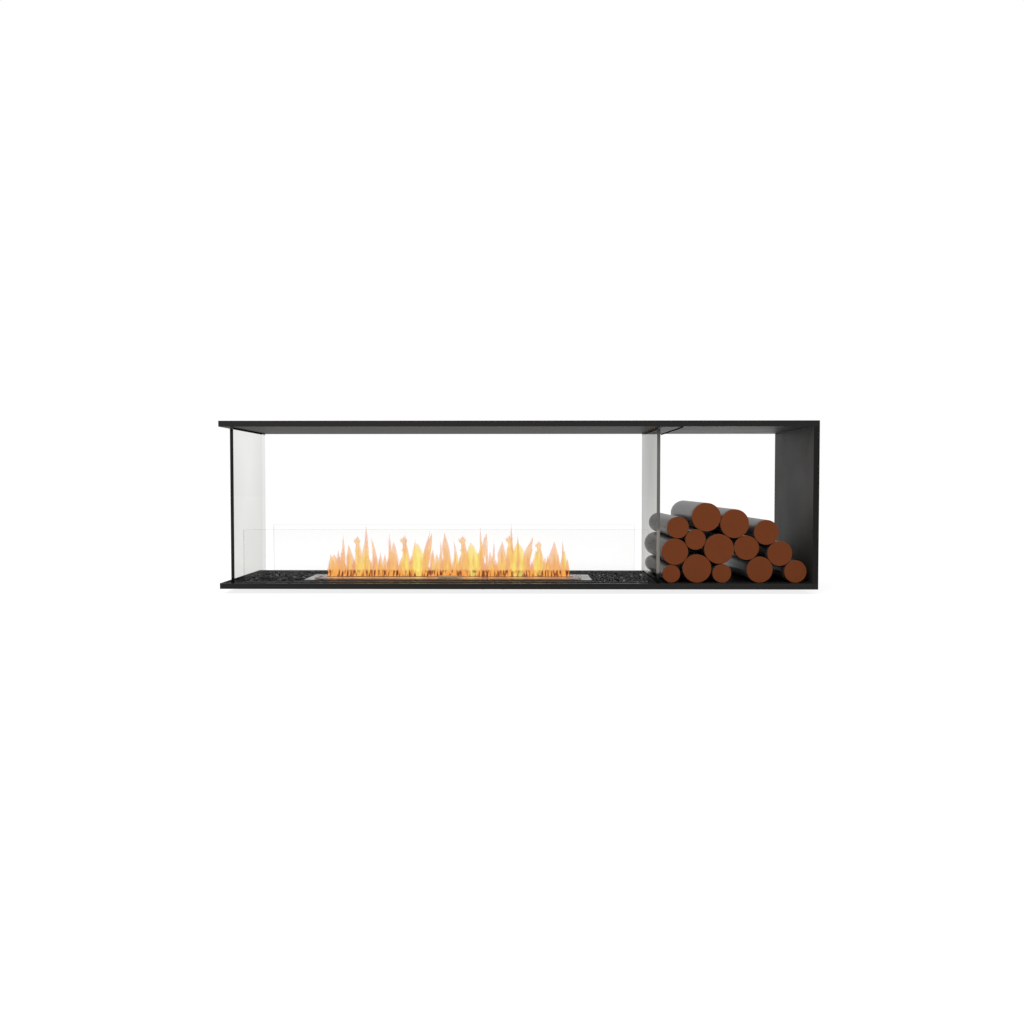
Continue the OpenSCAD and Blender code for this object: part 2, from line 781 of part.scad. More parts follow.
module ceramic_wick() {
  color("#e8e4da")
    bar(fire_mid_x, fuel_l / 2 - fuel_wall - wick_gap, 0, fuel_w / 2 - fuel_wall - wick_gap, [wick_z, wick_z + wick_h]);
}

module wick_retainer() {
  half_x = fuel_l / 2 - fuel_wall - wick_gap;
  half_y = fuel_w / 2 - fuel_wall - wick_gap;
  z = wick_z + wick_h;
  color(steel) difference() {
    bar(fire_mid_x, half_x, 0, half_y, [z, z + retainer_t]);
    for (i = [0:retainer_holes - 1], s = [-1, 1])
      translate([fire_mid_x - half_x + 2 * half_x * (i + 0.5) / retainer_holes, s * half_y / 2, z - 1])
        cylinder(h = retainer_t + 2, r = retainer_hole_r);
  }
}

// Two guides beside the ring that hold the shutter's ends from below and above
module shutter_runners() {
  y = [shutter_front - 3 * run_gap, slot_y + shutter_w / 2 + 3 * run_gap];
  slot_z = [ring_top, shutter_z + shutter_t + run_gap];
  far = shutter_half + run_gap;
  color(steel) for (s = [-1, 1]) translate([fire_mid_x, 0, 0]) mirror([s < 0 ? 1 : 0, 0, 0]) difference() {
    block([ring_half + 1, far + runner_wall], y, [plate_top, slot_z[1] + runner_wall]);
    block([ring_half, far], y + [-1, 1], slot_z);
    block([ring_half, far - runner_bite / 2], y + [-1, 1], [slot_z[0], slot_z[1] + runner_wall + 1]);
  }
}

module shutter_plate() {
  color(steel)
    bar(fire_mid_x, shutter_half, shutter_front + shutter_w / 2, shutter_w / 2, [shutter_z, shutter_z + shutter_t]);
}

module shutter_grip() {
  x = about(fire_mid_x, grip_l / 2);
  z = shutter_z + shutter_t;
  color(steel) {
    block(x, [shutter_front, shutter_front + grip_foot], [z, z + grip_t]);
    block(x, [shutter_front, shutter_front + grip_t], [z, z + grip_h]);
  }
}

module stacked_log(i) {
  color("#8f8a86")
    translate([logs[i][0], front_y + log_setback, logs[i][1]]) rotate([-90, 0, 0]) cylinder(h = log_l, r = logs[i][2]);
}

plinth_rails();
plinth_cross_bars();
fire_base_tray();
log_base_shell();
log_base_bottom();
log_base_stiffeners();
fire_floor_plate();
burner_seat_angles();
left_glass();
divider_glass();
left_lower_channel();
divider_lower_channel();
left_upper_channel();
divider_upper_channel();
glass_setting_pads();
glass_edge_stops();
front_screen_channel();
rear_screen_channel();
screen_seals();
fire_canopy_shell();
fire_canopy_lining();
log_canopy_shell();
log_canopy_lining();
canopy_stiffeners();
canopy_heat_boards();
joint_cover_plate();
side_outer_panel();
side_inner_panel();
side_posts();
module_bolts();
canopy_screws();
side_screws();
crushed_glass_left();
crushed_glass_right();
crushed_glass_front();
crushed_glass_rear();
front_screen();
rear_screen();
burner_top_plate();
slot_ring();
fuel_box();
ceramic_wick();
wick_retainer();
shutter_runners();
shutter_plate();
shutter_grip();
stacked_log(0);  // log_01
stacked_log(1);  // log_02
stacked_log(2);  // log_03
stacked_log(3);  // log_04
stacked_log(4);  // log_05
stacked_log(5);  // log_06
stacked_log(6);  // log_07
stacked_log(7);  // log_08
stacked_log(8);  // log_09
stacked_log(9);  // log_10
stacked_log(10);  // log_11
stacked_log(11);  // log_12
stacked_log(12);  // log_13
stacked_log(13);  // log_14
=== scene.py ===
"""Looks of a bioethanol fireplace insert: coated steel, glass, burner, crushed glass, logs, flames."""

import math

import bpy
import numpy as np
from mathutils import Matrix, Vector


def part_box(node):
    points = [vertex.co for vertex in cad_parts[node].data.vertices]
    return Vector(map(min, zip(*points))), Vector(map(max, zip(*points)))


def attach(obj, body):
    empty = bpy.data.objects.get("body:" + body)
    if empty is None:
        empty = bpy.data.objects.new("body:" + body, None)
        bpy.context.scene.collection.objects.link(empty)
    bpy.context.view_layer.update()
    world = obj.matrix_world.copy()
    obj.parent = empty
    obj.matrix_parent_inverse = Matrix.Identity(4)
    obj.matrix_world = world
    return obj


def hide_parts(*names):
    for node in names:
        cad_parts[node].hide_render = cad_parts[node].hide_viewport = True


bl_info = {
    "name": "Bioethanol Fireplace Insert",
    "version": (1, 0, 0),
    "blender": (4, 5, 0),
    "location": "View3D > Sidebar > Fireplace",
    "description": "Dresses the fireplace frame with coated steel, glass, a burner, logs and flames",
    "category": "Add Mesh",
}

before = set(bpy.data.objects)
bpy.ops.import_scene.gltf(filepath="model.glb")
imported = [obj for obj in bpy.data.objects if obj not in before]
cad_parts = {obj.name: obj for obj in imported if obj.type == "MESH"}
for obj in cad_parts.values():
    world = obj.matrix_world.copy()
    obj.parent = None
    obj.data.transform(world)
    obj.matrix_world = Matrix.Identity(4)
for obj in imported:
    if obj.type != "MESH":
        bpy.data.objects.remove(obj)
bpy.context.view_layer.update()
X, Y, Z = 0, 1, 2
MILLIMETRE = 0.001
LEAST_CORNER = 0.00001  # keeps the points of a round corner apart
WHITE = (1.0, 1.0, 1.0, 1.0)


def linear(text):
    """An sRGB hex colour such as #2B2A28 as linear red, green and blue, and an alpha of 1."""
    parts = [int(text[i:i + 2], 16) / 255 for i in (1, 3, 5)]
    return (*[c / 12.92 if c <= 0.04045 else ((c + 0.055) / 1.055) ** 2.4 for c in parts], 1.0)


def node_box(name):
    """Lowest and highest corner of a CAD node, as two numpy arrays, in metres."""
    low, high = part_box(name)
    return np.array(low, float), np.array(high, float)


def top_of(name):
    """Height of the top of a CAD node."""
    return node_box(name)[1][Z]


def mesh_points(mesh):
    """Every point of a mesh, as rows of X, Y and Z."""
    values = np.zeros(3 * len(mesh.vertices), np.float32)
    mesh.vertices.foreach_get("co", values)
    return values.reshape(-1, 3).astype(float)


def colour_setting(name, text, description):
    """A colour that the user can change, with the sRGB hex colour in text as its default."""
    return bpy.props.FloatVectorProperty(
        name=name, description=description, subtype="COLOR", size=4, default=linear(text))


def length_setting(name, metres, description):
    """A length that the user can change."""
    return bpy.props.FloatProperty(name=name, description=description, unit="LENGTH", default=metres)


class StudioSettings(bpy.types.PropertyGroup):
    camera_place: bpy.props.FloatVectorProperty(
        name="Camera place", description="Where the camera stands, from the middle of the plinth",
        subtype="TRANSLATION", unit="LENGTH", default=(0.0092, -2.892, 0.331))
    camera_yaw: bpy.props.FloatProperty(
        name="Camera turn", description="Turn of the camera to the left of straight ahead",
        subtype="ANGLE", default=math.radians(0.582))
    camera_down: bpy.props.FloatProperty(
        name="Camera tilt", description="Tilt of the camera below the horizon",
        subtype="ANGLE", default=math.radians(1.81))
    camera_lens: bpy.props.FloatProperty(
        name="Lens", description="Focal length for a 36 mm wide picture", unit="CAMERA", default=31.71)
    floor_size: length_setting("Floor size", 40.0, "Length of one side of the floor")
    floor_colour: colour_setting("Floor colour", "#C9C8C6", "Matt pale floor")
    floor_lift: bpy.props.FloatProperty(
        name="Floor lift", default=1.68,
        description="Brightness added so that the floor fades into the white background")
    daylight: bpy.props.FloatProperty(
        name="Daylight", description="Strength of the even light from all round", default=0.62)
    lamp_power: bpy.props.FloatProperty(
        name="Lamp power", description="Power of the large soft lamp over the camera",
        subtype="POWER", default=110.0)


class CoatSettings(bpy.types.PropertyGroup):
    coat: colour_setting("Coat", "#1A1918", "Satin black powder coat on the outside")
    lining: colour_setting(
        "Lining", "#201E1B", "Powder coat on the linings that face the fire and the logs")
    floor_plate: colour_setting("Floor plate", "#151312", "Fine-textured dark coat around the burner")


class GlassSettings(bpy.types.PropertyGroup):
    arris: length_setting("Arris", 0.001, "Rounding of the polished edges of the tall panes")
    screen_arris: length_setting("Windscreen arris", 0.0005, "Rounding of the windscreens' edges")
    left_edge: colour_setting("Left edge", "#141414", "Colour that the left pane's edge shows")
    divider_edge: colour_setting("Divider edge", "#6A6966", "Colour that the divider's edge shows")
    # Painted reflection: the lighter colour of the divider's edge below the tops of the windscreens
    # stands in for the white background that the edge mirrors there.
    divider_low_edge_reflection: colour_setting(
        "Low divider edge", "#928D86", "Colour of the divider's edge below the tops of the windscreens")
    # Painted shade: the two bands below are flat colours painted over the top of each pane, standing in
    # for the shaded channel seen through the glass.
    left_channel_shade: colour_setting("Left band", "#3C3A37", "Enamel band along the top of the left pane")
    divider_channel_shade: colour_setting("Divider band", "#7A7772", "Enamel band along the top of the divider")
    screen_edge: colour_setting("Windscreen edge", "#3A3D3C", "Colour that a windscreen's edge shows")


class CrushedGlassSettings(bpy.types.PropertyGroup):
    lump: length_setting("Lump", 0.016, "Middle size of one lump of crushed glass")
    pitch: length_setting("Pitch", 0.0125, "Distance from one lump to the next")
    # Painted glint: a pale colour painted on a few lumps in place of light off their faces.
    colour: colour_setting("Colour", "#050607", "Black glass")
    painted_glint: colour_setting("Painted glint", "#8E9190", "Pale face of the few lumps that catch the light")


class LogSettings(bpy.types.PropertyGroup):
    side: colour_setting("Side", "#443F3C", "Grey glaze on the round side of a log")
    end: colour_setting("End", "#733A1B", "Red-brown end of a log")
    rim: length_setting("Rim", 0.0008, "Rounding between the side and the end")


class FlameSettings(bpy.types.PropertyGroup):
    veil: colour_setting("Veil", "#EA9B86", "Thin outer flame")
    body: colour_setting("Body", "#FBBB5C", "Middle of a flame")
    core: colour_setting("Core", "#FDF07A", "Hottest part of a flame")
    foot: colour_setting("Foot", "#FCA84C", "Rich gas just over the slot")
    thread: colour_setting("Thread", "#7C2806", "Dark threads in the rich gas")
    strength: bpy.props.FloatProperty(
        name="Strength", description="How brightly the flames shine", default=1.0)


def add(tree, kind, inputs=None, **settings):
    """Adds a shader node. Settings are its own properties. Inputs are its sockets by name or number.
    One that is given as a node is linked to that node's first output, and one given as a socket to that
    socket. By number, a MapRange node has its value at 0, the range it comes from at 1 and 2 and the
    range it goes to at 3 and 4, each 0 to 1 if left out. A Mix node set to colour has its share at 0,
    its two colours at 6 and 7 and its result at output 2. A MixShader node has its share at 0 and its
    two shaders at 1 and 2."""
    node = tree.nodes.new("ShaderNode" + kind)
    for key, value in settings.items():
        setattr(node, key, value)
    for key, value in (inputs or {}).items():
        if isinstance(value, bpy.types.Node):
            value = value.outputs[0]
        if isinstance(value, bpy.types.NodeSocket):
            tree.links.new(value, node.inputs[key])
        else:
            node.inputs[key].default_value = value
    return node


def finish(shading):
    """Turns a function that adds the nodes of a finish to a tree, and returns the last of them, into
    one that takes a material's name instead of the tree and returns the finished material."""
    def made(name, *details):
        material = bpy.data.materials.new(name)
        material.use_nodes = True
        tree = material.node_tree
        tree.nodes.clear()
        add(tree, "OutputMaterial", {"Surface": shading(tree, *details)})
        return material
    return made


def object_place(tree, stretch=(1, 1, 1)):
    """Object coordinates in metres, stretched along each axis."""
    place = add(tree, "TexCoord").outputs["Object"]
    return add(tree, "Mapping", {"Vector": place, "Scale": stretch})


def pattern(tree, size, detail):
    """A soft random pattern over a piece. size is how large its spots are in metres, or how large they
    are along X, Y and Z."""
    sizes = size if isinstance(size, tuple) else (size, size, size)
    place = object_place(tree, tuple(1 / along for along in sizes))
    return add(tree, "TexNoise", {"Vector": place, "Scale": 1.0, "Detail": detail})


def mottled(tree, share, colour, first, second):
    """A colour that goes with a share from first times itself to second times itself."""
    shades = [(*[c * tone for c in colour[:3]], 1.0) for tone in (first, second)]
    return add(tree, "Mix", {0: share, 6: shades[0], 7: shades[1]}, data_type="RGBA").outputs[2]


@finish
def powder_coat(tree, colour, roughness, shine):
    """Polyester powder coat on folded steel: satin, with faint clouds about 120 mm wide and the ripple
    called orange peel. The ripple is about 2 mm on the real coat and is drawn at 4 mm, so that it
    shows."""
    ripple = pattern(tree, 0.004, 2.0)
    cloud = pattern(tree, 0.12, 3.0)
    return add(tree, "BsdfPrincipled", {
        "Base Color": mottled(tree, cloud, colour, 0.9, 1.12),
        "Roughness": add(tree, "MapRange", {
            0: cloud, 1: 0.3, 2: 0.7, 3: roughness - 0.04, 4: roughness + 0.04}),
        "IOR": 1.5,
        "Specular IOR Level": shine,
        "Normal": add(tree, "Bump", {"Height": ripple, "Strength": 0.12, "Distance": 0.0003}),
    })


@finish
def fine_texture_coat(tree, colour, shine):
    """Fine-textured powder coat: its tiny grains shade one another, so that it stays dark at a flat
    angle and keeps a weak, wide shine. The grains are about 0.3 mm on the real coat and are drawn at 2
    mm."""
    grain = pattern(tree, 0.002, 2.0)
    bump = add(tree, "Bump", {"Height": grain, "Strength": 0.15, "Distance": 0.0002})
    matt = add(tree, "BsdfDiffuse", {"Color": mottled(tree, grain, colour, 0.85, 1.15), "Normal": bump})
    gloss = add(tree, "BsdfGlossy", {"Color": WHITE, "Roughness": 0.35, "Normal": bump})
    return add(tree, "MixShader", {0: shine, 1: matt, 2: gloss})


@finish
def tray_coat(tree, colour, rim_height):
    """Powder coat of the tray: satin like the rest, but on top of the folded rim, which is polished by
    hands and cloths, it is smooth enough to show the flames as a warm line."""
    height = add(tree, "SeparateXYZ", {0: object_place(tree)}).outputs["Z"]
    on_rim = add(tree, "MapRange", {0: height, 1: rim_height - 0.0004, 2: rim_height - 0.0001})
    ripple = pattern(tree, 0.004, 2.0)
    paint = mottled(tree, ripple, colour, 0.9, 1.12)
    satin = add(tree, "BsdfPrincipled", {
        "Base Color": paint,
        "Roughness": 0.46,
        "IOR": 1.5,
        "Specular IOR Level": 0.15,
        "Normal": add(tree, "Bump", {"Height": ripple, "Strength": 0.12, "Distance": 0.0003}),
    })
    polished = add(tree, "BsdfPrincipled", {
        "Base Color": paint, "Roughness": 0.16, "IOR": 1.5, "Specular IOR Level": 0.3})
    return add(tree, "MixShader", {0: on_rim, 1: satin, 2: polished})


@finish
def brushed_steel(tree, colour, roughness, edge_tint):
    """Stainless sheet brushed along X: fine bright and dark hairlines, and smears about 80 mm wide. The
    hairlines are about 0.2 mm apart on the real sheet and are drawn at 1.5 mm, so that they show."""
    hair = pattern(tree, (1 / 6, 0.0015, 0.0015), 3.0)
    smear = pattern(tree, 0.08, 2.0)
    return add(tree, "BsdfPrincipled", {
        "Base Color": mottled(tree, hair, colour, 0.8, 1.2),
        "Metallic": 1.0,
        "Roughness": add(tree, "MapRange", {
            0: smear, 1: 0.3, 2: 0.7, 3: roughness - 0.05, 4: roughness + 0.05}),
        "Specular Tint": edge_tint,
        "Normal": add(tree, "Bump", {"Height": hair, "Strength": 0.15, "Distance": 0.0002}),
    })


@finish
def zinc_spangle(tree):
    """Hot-dip galvanised sheet: dull grey zinc whose crystals, 8 mm across, each catch the light in
    their own way."""
    crystal = add(tree, "TexVoronoi", {"Vector": object_place(tree), "Scale": 1 / 0.008})
    return add(tree, "BsdfPrincipled", {
        "Base Color": add(tree, "Mix", {0: crystal, 6: linear("#8A8F93"), 7: linear("#6D7276")},
                          data_type="RGBA").outputs[2],
        "Metallic": 1.0,
        "Roughness": add(tree, "MapRange", {0: crystal, 3: 0.42, 4: 0.58}),
    })


@finish
def matt_fibre(tree, light, dark, grain):
    """Pressed ceramic fibre or rubber: fully matt, with a soft grain of the size grain."""
    fibre = pattern(tree, grain, 4.0)
    return add(tree, "BsdfPrincipled", {
        "Base Color": add(tree, "Mix", {0: fibre, 6: dark, 7: light}, data_type="RGBA").outputs[2],
        "Roughness": 0.95,
        "Normal": add(tree, "Bump", {"Height": fibre, "Strength": 0.5, "Distance": 0.0008}),
    })


@finish
def clear_silicone(tree, level_highlight_share, upright_share):
    """Clear silicone: soft, nearly clear, with a dull whitish skin in soft clouds. Its level
    faces hide the share level_highlight_share of what is behind them, and its upright faces
    upright_share. Where the level faces hide more, their whiter look is a painted highlight of the light
    from above."""
    cloud = pattern(tree, 0.01, 2.0)
    gel = add(tree, "BsdfPrincipled", {
        "Base Color": add(tree, "Mix", {0: cloud, 6: linear("#B9B9B6"), 7: linear("#E8E8E6")},
                          data_type="RGBA").outputs[2],
        "Roughness": 0.5,
        "IOR": 1.41,
        "Specular IOR Level": 0.1,
    })
    facing = add(tree, "SeparateXYZ", {0: add(tree, "NewGeometry").outputs["Normal"]}).outputs["Z"]
    level = add(tree, "Math", {0: facing}, operation="ABSOLUTE")
    # Painted highlight: where level faces hide more than upright ones, their whiter tops stand in for
    # light from above.
    share = add(tree, "MapRange", {0: level, 1: 0.4, 2: 0.8, 3: upright_share, 4: level_highlight_share})
    return add(tree, "MixShader", {0: share, 1: add(tree, "BsdfTransparent"), 2: gel})


@finish
def float_glass(tree, straight, slanting, mirror, band=None):
    """Toughened float glass: it lets less through the more slanted the view is, and mirrors a little.
    straight and slanting are what one face passes, seen straight on and almost along the glass. Where
    band gives a height and a colour, a matt coat of that colour covers the glass above that height:
    painted shade that stands in for the shaded channel seen through the glass."""
    slant = add(tree, "LayerWeight", {"Blend": 0.5}).outputs["Facing"]
    shallow = add(tree, "MapRange", {0: slant, 1: 0.68, 2: 0.87})
    passed = add(tree, "BsdfTransparent", {
        "Color": add(tree, "Mix", {0: shallow, 6: straight, 7: slanting}, data_type="RGBA").outputs[2]})
    mirrored = add(tree, "BsdfGlossy", {"Color": WHITE, "Roughness": 0.0})
    share = add(tree, "MapRange", {0: slant, 1: 0.6, 2: 1.0, 3: mirror, 4: 3 * mirror})
    shader = add(tree, "MixShader", {0: share, 1: passed, 2: mirrored})
    if band:
        height = add(tree, "SeparateXYZ", {0: object_place(tree)}).outputs["Z"]
        above = add(tree, "MapRange", {0: height, 1: band[0] - 0.0002, 2: band[0] + 0.0002})
        # Painted shade: a flat colour over the top of the pane in place of the shaded channel seen
        # through the glass.
        painted_shade = add(tree, "BsdfDiffuse", {"Color": band[1]})
        shader = add(tree, "MixShader", {0: above, 1: shader, 2: painted_shade})
    return shader


@finish
def polished_edge(tree, colours, heights, cover, from_inside, upright=1.0):
    """Ground and polished glass edge: from outside it hides the share cover of what is behind it, under
    the deep colour of the glass and a shine, and from inside the glass only the share from_inside of
    that. The colour goes from colours[0] to colours[1] about the first height and on to colours[2]
    about the second. On the divider, the lighter stretch below the tops of the windscreens is a painted
    reflection of the white background. Edges that face along X hide upright times as much as the others."""
    height = add(tree, "SeparateXYZ", {0: object_place(tree)}).outputs["Z"]
    deep = colours[0]
    for middle, colour in zip(heights, colours[1:]):
        above = add(tree, "MapRange", {0: height, 1: middle - 0.004, 2: middle + 0.004})
        deep = add(tree, "Mix", {0: above, 6: deep, 7: colour}, data_type="RGBA").outputs[2]
    face = add(tree, "NewGeometry").outputs
    along = add(tree, "SeparateXYZ", {0: face["Normal"]}).outputs["X"]
    sideways = add(tree, "Math", {0: along}, operation="ABSOLUTE")
    seen = add(tree, "Math", {
        0: add(tree, "MapRange", {0: face["Backfacing"], 3: cover, 4: cover * from_inside}),
        1: add(tree, "MapRange", {0: sideways, 1: 0.6, 2: 0.8, 3: 1.0, 4: upright}),
    }, operation="MULTIPLY", use_clamp=True)
    cloud = pattern(tree, 0.15, 2.0)
    glass = add(tree, "BsdfPrincipled", {
        "Base Color": deep,
        "Roughness": add(tree, "MapRange", {0: cloud, 1: 0.3, 2: 0.7, 3: 0.08, 4: 0.2}),
        "IOR": 1.5,
        "Specular IOR Level": 0.15,
    })
    return add(tree, "MixShader", {0: seen, 1: add(tree, "BsdfTransparent"), 2: glass})


@finish
def black_glass(tree, colour, painted_glint):
    """Crushed black glass: deep black, sharp and shiny. A few lumps carry pale patches, a painted glint
    that stands in for light off their faces. The luck attribute of each lump, from 0 to 1, says which
    they are."""
    luck = add(tree, "Attribute", attribute_name="luck").outputs["Fac"]
    cloud = pattern(tree, 0.006, 1.0)
    chosen = add(tree, "MapRange", {0: luck, 1: 0.9, 2: 0.98})
    glinting = add(tree, "Math", {0: chosen, 1: cloud}, operation="MULTIPLY")
    return add(tree, "BsdfPrincipled", {
        # Painted glint: the pale colour on the chosen lumps stands in for light off their faces.
        "Base Color": add(tree, "Mix", {0: glinting, 6: colour, 7: painted_glint}, data_type="RGBA").outputs[2],
        "Roughness": add(tree, "MapRange", {0: luck, 3: 0.28, 4: 0.06}),
        "IOR": 1.52,
        "Specular IOR Level": 0.04,
    })


@finish
def log_side(tree, colour):
    """Glazed ceramic log side: smooth grey with a soft shine and faint streaks, 10 mm wide and 120 mm
    long."""
    streak = pattern(tree, (0.01, 0.12, 0.01), 4.0)
    return add(tree, "BsdfPrincipled", {
        "Base Color": mottled(tree, streak, colour, 0.82, 1.12),
        "Roughness": 0.34,
        "IOR": 1.5,
        "Specular IOR Level": 0.16,
        "Normal": add(tree, "Bump", {"Height": streak, "Strength": 0.05, "Distance": 0.0005}),
    })


@finish
def log_end(tree, colour):
    """Red-brown log end: matt, with faint blotches 20 mm wide and the ghost of year rings 3 mm apart,
    from the piece's own map, whose middle is the middle of the log."""
    rings = add(tree, "TexWave", {
        "Vector": add(tree, "UVMap", uv_map="rings"), "Scale": 1 / 0.003 / (2 * math.pi),
        "Distortion": 3.0, "Detail": 2.0, "Detail Scale": 0.4,
    }, wave_type="RINGS", rings_direction="SPHERICAL")
    blotch = pattern(tree, 0.02, 3.0)
    grain = add(tree, "Math", {0: rings, 1: blotch}, operation="MULTIPLY")
    return add(tree, "BsdfPrincipled", {
        "Base Color": mottled(tree, grain, colour, 1.1, 0.82),
        "Roughness": 0.7,
        "Specular IOR Level": 0.15,
    })


@finish
def flame_gas(tree, settings, plate_height):
    """Burning ethanol vapour: thin peach veils, an orange body and a yellow core that glow and let what
    is behind them show. The gas_heat and gas_share attributes of the mesh say how hot and how thick the
    gas is. Over its lowest 22 mm the gas is rich: a thick deep orange with red-brown threads about 5 mm
    wide. Metal and glass mirror the flames brighter than they look, because the picture clips their
    real glow."""
    warmth = add(tree, "Attribute", attribute_name="gas_heat").outputs["Fac"]
    density = add(tree, "Attribute", attribute_name="gas_share").outputs["Fac"]
    streaks = pattern(tree, (0.008, 0.02, 0.06), 2.0)
    threads = pattern(tree, (0.005, 0.05, 0.03), 1.0)
    flicker = add(tree, "MapRange", {0: streaks, 1: 0.3, 2: 0.7, 3: -0.3, 4: 0.3})
    heat = add(tree, "Math", {0: warmth, 1: flicker}, operation="ADD")
    height = add(tree, "SeparateXYZ", {0: object_place(tree)}).outputs["Z"]
    low = add(tree, "MapRange", {
        0: height, 1: plate_height + 0.021, 2: plate_height + 0.026, 3: 1.0, 4: 0.0})
    cooler = add(tree, "MapRange", {0: warmth, 1: 0.62, 2: 0.8, 3: 1.0, 4: 0.0})
    colour = settings.veil
    for least, most, hotter in ((0.0, 0.4, settings.body), (0.5, 1.0, settings.core)):
        share = add(tree, "MapRange", {0: heat, 1: least, 2: most})
        colour = add(tree, "Mix", {0: share, 6: colour, 7: hotter}, data_type="RGBA").outputs[2]
    between = add(tree, "MapRange", {0: threads, 1: 0.4, 2: 0.54})
    ember = add(tree, "Mix", {
        0: between, 6: settings.thread, 7: settings.foot}, data_type="RGBA").outputs[2]
    rich = add(tree, "Math", {0: low, 1: cooler}, operation="MULTIPLY")
    mirrored = add(tree, "LightPath").outputs["Is Glossy Ray"]
    brighter = 3.4 * settings.strength
    glow = add(tree, "Emission", {
        "Color": add(tree, "Mix", {0: rich, 6: colour, 7: ember}, data_type="RGBA").outputs[2],
        "Strength": add(tree, "MapRange", {0: mirrored, 3: settings.strength, 4: brighter}),
    })
    uneven = add(tree, "MapRange", {0: streaks, 1: 0.3, 2: 0.7, 3: 0.85, 4: 1.1})
    whole = add(tree, "Math", {0: density, 1: uneven}, operation="MULTIPLY")
    thicker = add(tree, "MapRange", {0: low, 3: 0.0, 4: 0.25})
    share = add(tree, "Math", {0: whole, 1: thicker}, operation="ADD", use_clamp=True)
    return add(tree, "MixShader", {0: share, 1: add(tree, "BsdfTransparent"), 2: glow})


def seen_rays(tree):
    """1 for rays from the camera, and for those that metal mirrors or glass lets through."""
    path = add(tree, "LightPath").outputs
    first = add(tree, "Math", {0: path["Is Camera Ray"], 1: path["Is Glossy Ray"]}, operation="MAXIMUM")
    return add(tree, "Math", {0: first, 1: path["Is Transmission Ray"]}, operation="MAXIMUM")


@finish
def pale_floor(tree, colour, lift):
    """Matt pale floor. It keeps the object's shadow, and a glow that lights nothing lifts it for the
    rays that show it, so that it fades into the white background."""
    strength = add(tree, "Math", {0: seen_rays(tree), 1: lift}, operation="MULTIPLY")
    glow = add(tree, "Emission", {"Color": WHITE, "Strength": strength})
    return add(tree, "MixShader", {0: 0.5, 1: add(tree, "BsdfDiffuse", {"Color": colour}), 2: glow})


def placed(name, data):
    """A new object of the scene, at the origin."""
    made = bpy.data.objects.new(name, data)
    bpy.context.scene.collection.objects.link(made)
    return made


def dress(names, material):
    """Gives CAD nodes a material. Their meshes and places stay as they are."""
    for name in names:
        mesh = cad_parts[name].data
        mesh.materials.clear()
        mesh.materials.append(material)


def outline(half_a, half_b, corner, steps):
    """Rectangle with round corners as one closed line. Corner k turns from 90 k to 90 k + 90 degrees,
    at its centre plus corner * (cos t, sin t)."""
    turn = np.arange(4)[:, None] * np.pi / 2 + np.linspace(0, np.pi / 2, steps + 1)
    side_a = np.array([1, -1, -1, 1])[:, None]
    side_b = np.array([1, 1, -1, -1])[:, None]
    a = side_a * (half_a - corner) + corner * np.cos(turn)
    b = side_b * (half_b - corner) + corner * np.sin(turn)
    return np.stack([a.ravel(), b.ravel()], axis=1)


def rounded_rows(low, high, arris, steps=3):
    """Rows of a slab from low to high whose rims are quarter circles of radius arris:
    offset arris * (sin t - 1) at height low + arris * (1 - cos t), and the same mirrored at the top."""
    t = np.linspace(0, np.pi / 2, steps + 1)
    bottom = np.column_stack([arris * (np.sin(t) - 1), low + arris * (1 - np.cos(t))])
    top = np.column_stack([arris * (np.cos(t) - 1), high - arris * (1 - np.sin(t))])
    return np.vstack([bottom, top])


def grid_faces(rows, columns):
    """Four-sided faces between the points of a grid whose rows close on themselves."""
    row, column = np.meshgrid(np.arange(rows - 1), np.arange(columns), indexing="ij")
    here, above = row * columns, (row + 1) * columns
    following = (column + 1) % columns
    corners = [here + column, here + following, above + following, above + column]
    return np.stack(corners, axis=-1).reshape(-1, 4).tolist()


def capped(layers):
    """Faces of a closed stack of outlines, whose last two are its caps."""
    rows, columns = layers.shape[:2]
    caps = [list(range(columns))[::-1], list(range((rows - 1) * columns, rows * columns))]
    return grid_faces(rows, columns) + caps


def slab(low, high, axis, corner, arris, steps=3):
    """Layers and faces of a block from low to high with round corners about an axis and rounded rims
    across it. Row (offset, height) of its rims is the outline grown by offset, at that height along the
    axis."""
    centre = (low + high) / 2
    centre[axis] = 0
    half = (high - low) / 2
    half_a, half_b = half[(axis + 1) % 3], half[(axis + 2) % 3]
    layers = []
    for offset, height in rounded_rows(low[axis], high[axis], arris):
        flat = outline(half_a + offset, half_b + offset, max(corner + offset, LEAST_CORNER), steps)
        layer = np.column_stack([flat, np.full(len(flat), height)])
        layers.append(np.roll(layer, axis - Z, axis=1) + centre)
    layers = np.array(layers)
    return layers, capped(layers)


def piece(name, points, faces, materials, body, face_material=None, stands_for=(), sharp=35):
    """Makes a mesh object at the origin, hands it to the frame and returns it. Faces turned by more
    than sharp degrees from each other meet in a crisp line."""
    mesh = bpy.data.meshes.new(name)
    mesh.from_pydata(np.asarray(points).reshape(-1, 3).tolist(), [], faces)
    for material in materials:
        mesh.materials.append(material)
    if face_material is not None:
        mesh.polygons.foreach_set("material_index", np.asarray(face_material, np.int32))
    mesh.polygons.foreach_set("use_smooth", np.ones(len(mesh.polygons), bool))
    mesh.set_sharp_from_angle(angle=math.radians(sharp))
    mesh.update()
    made = placed(name, mesh)
    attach(made, body)
    if stands_for:
        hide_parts(*stands_for)
    return made


def mark_points(made, name, values):
    """Stores a number for each point of a piece, which its material reads."""
    values = np.asarray(values, np.float32)
    made.data.attributes.new(name, "FLOAT", "POINT").data.foreach_set("value", values)


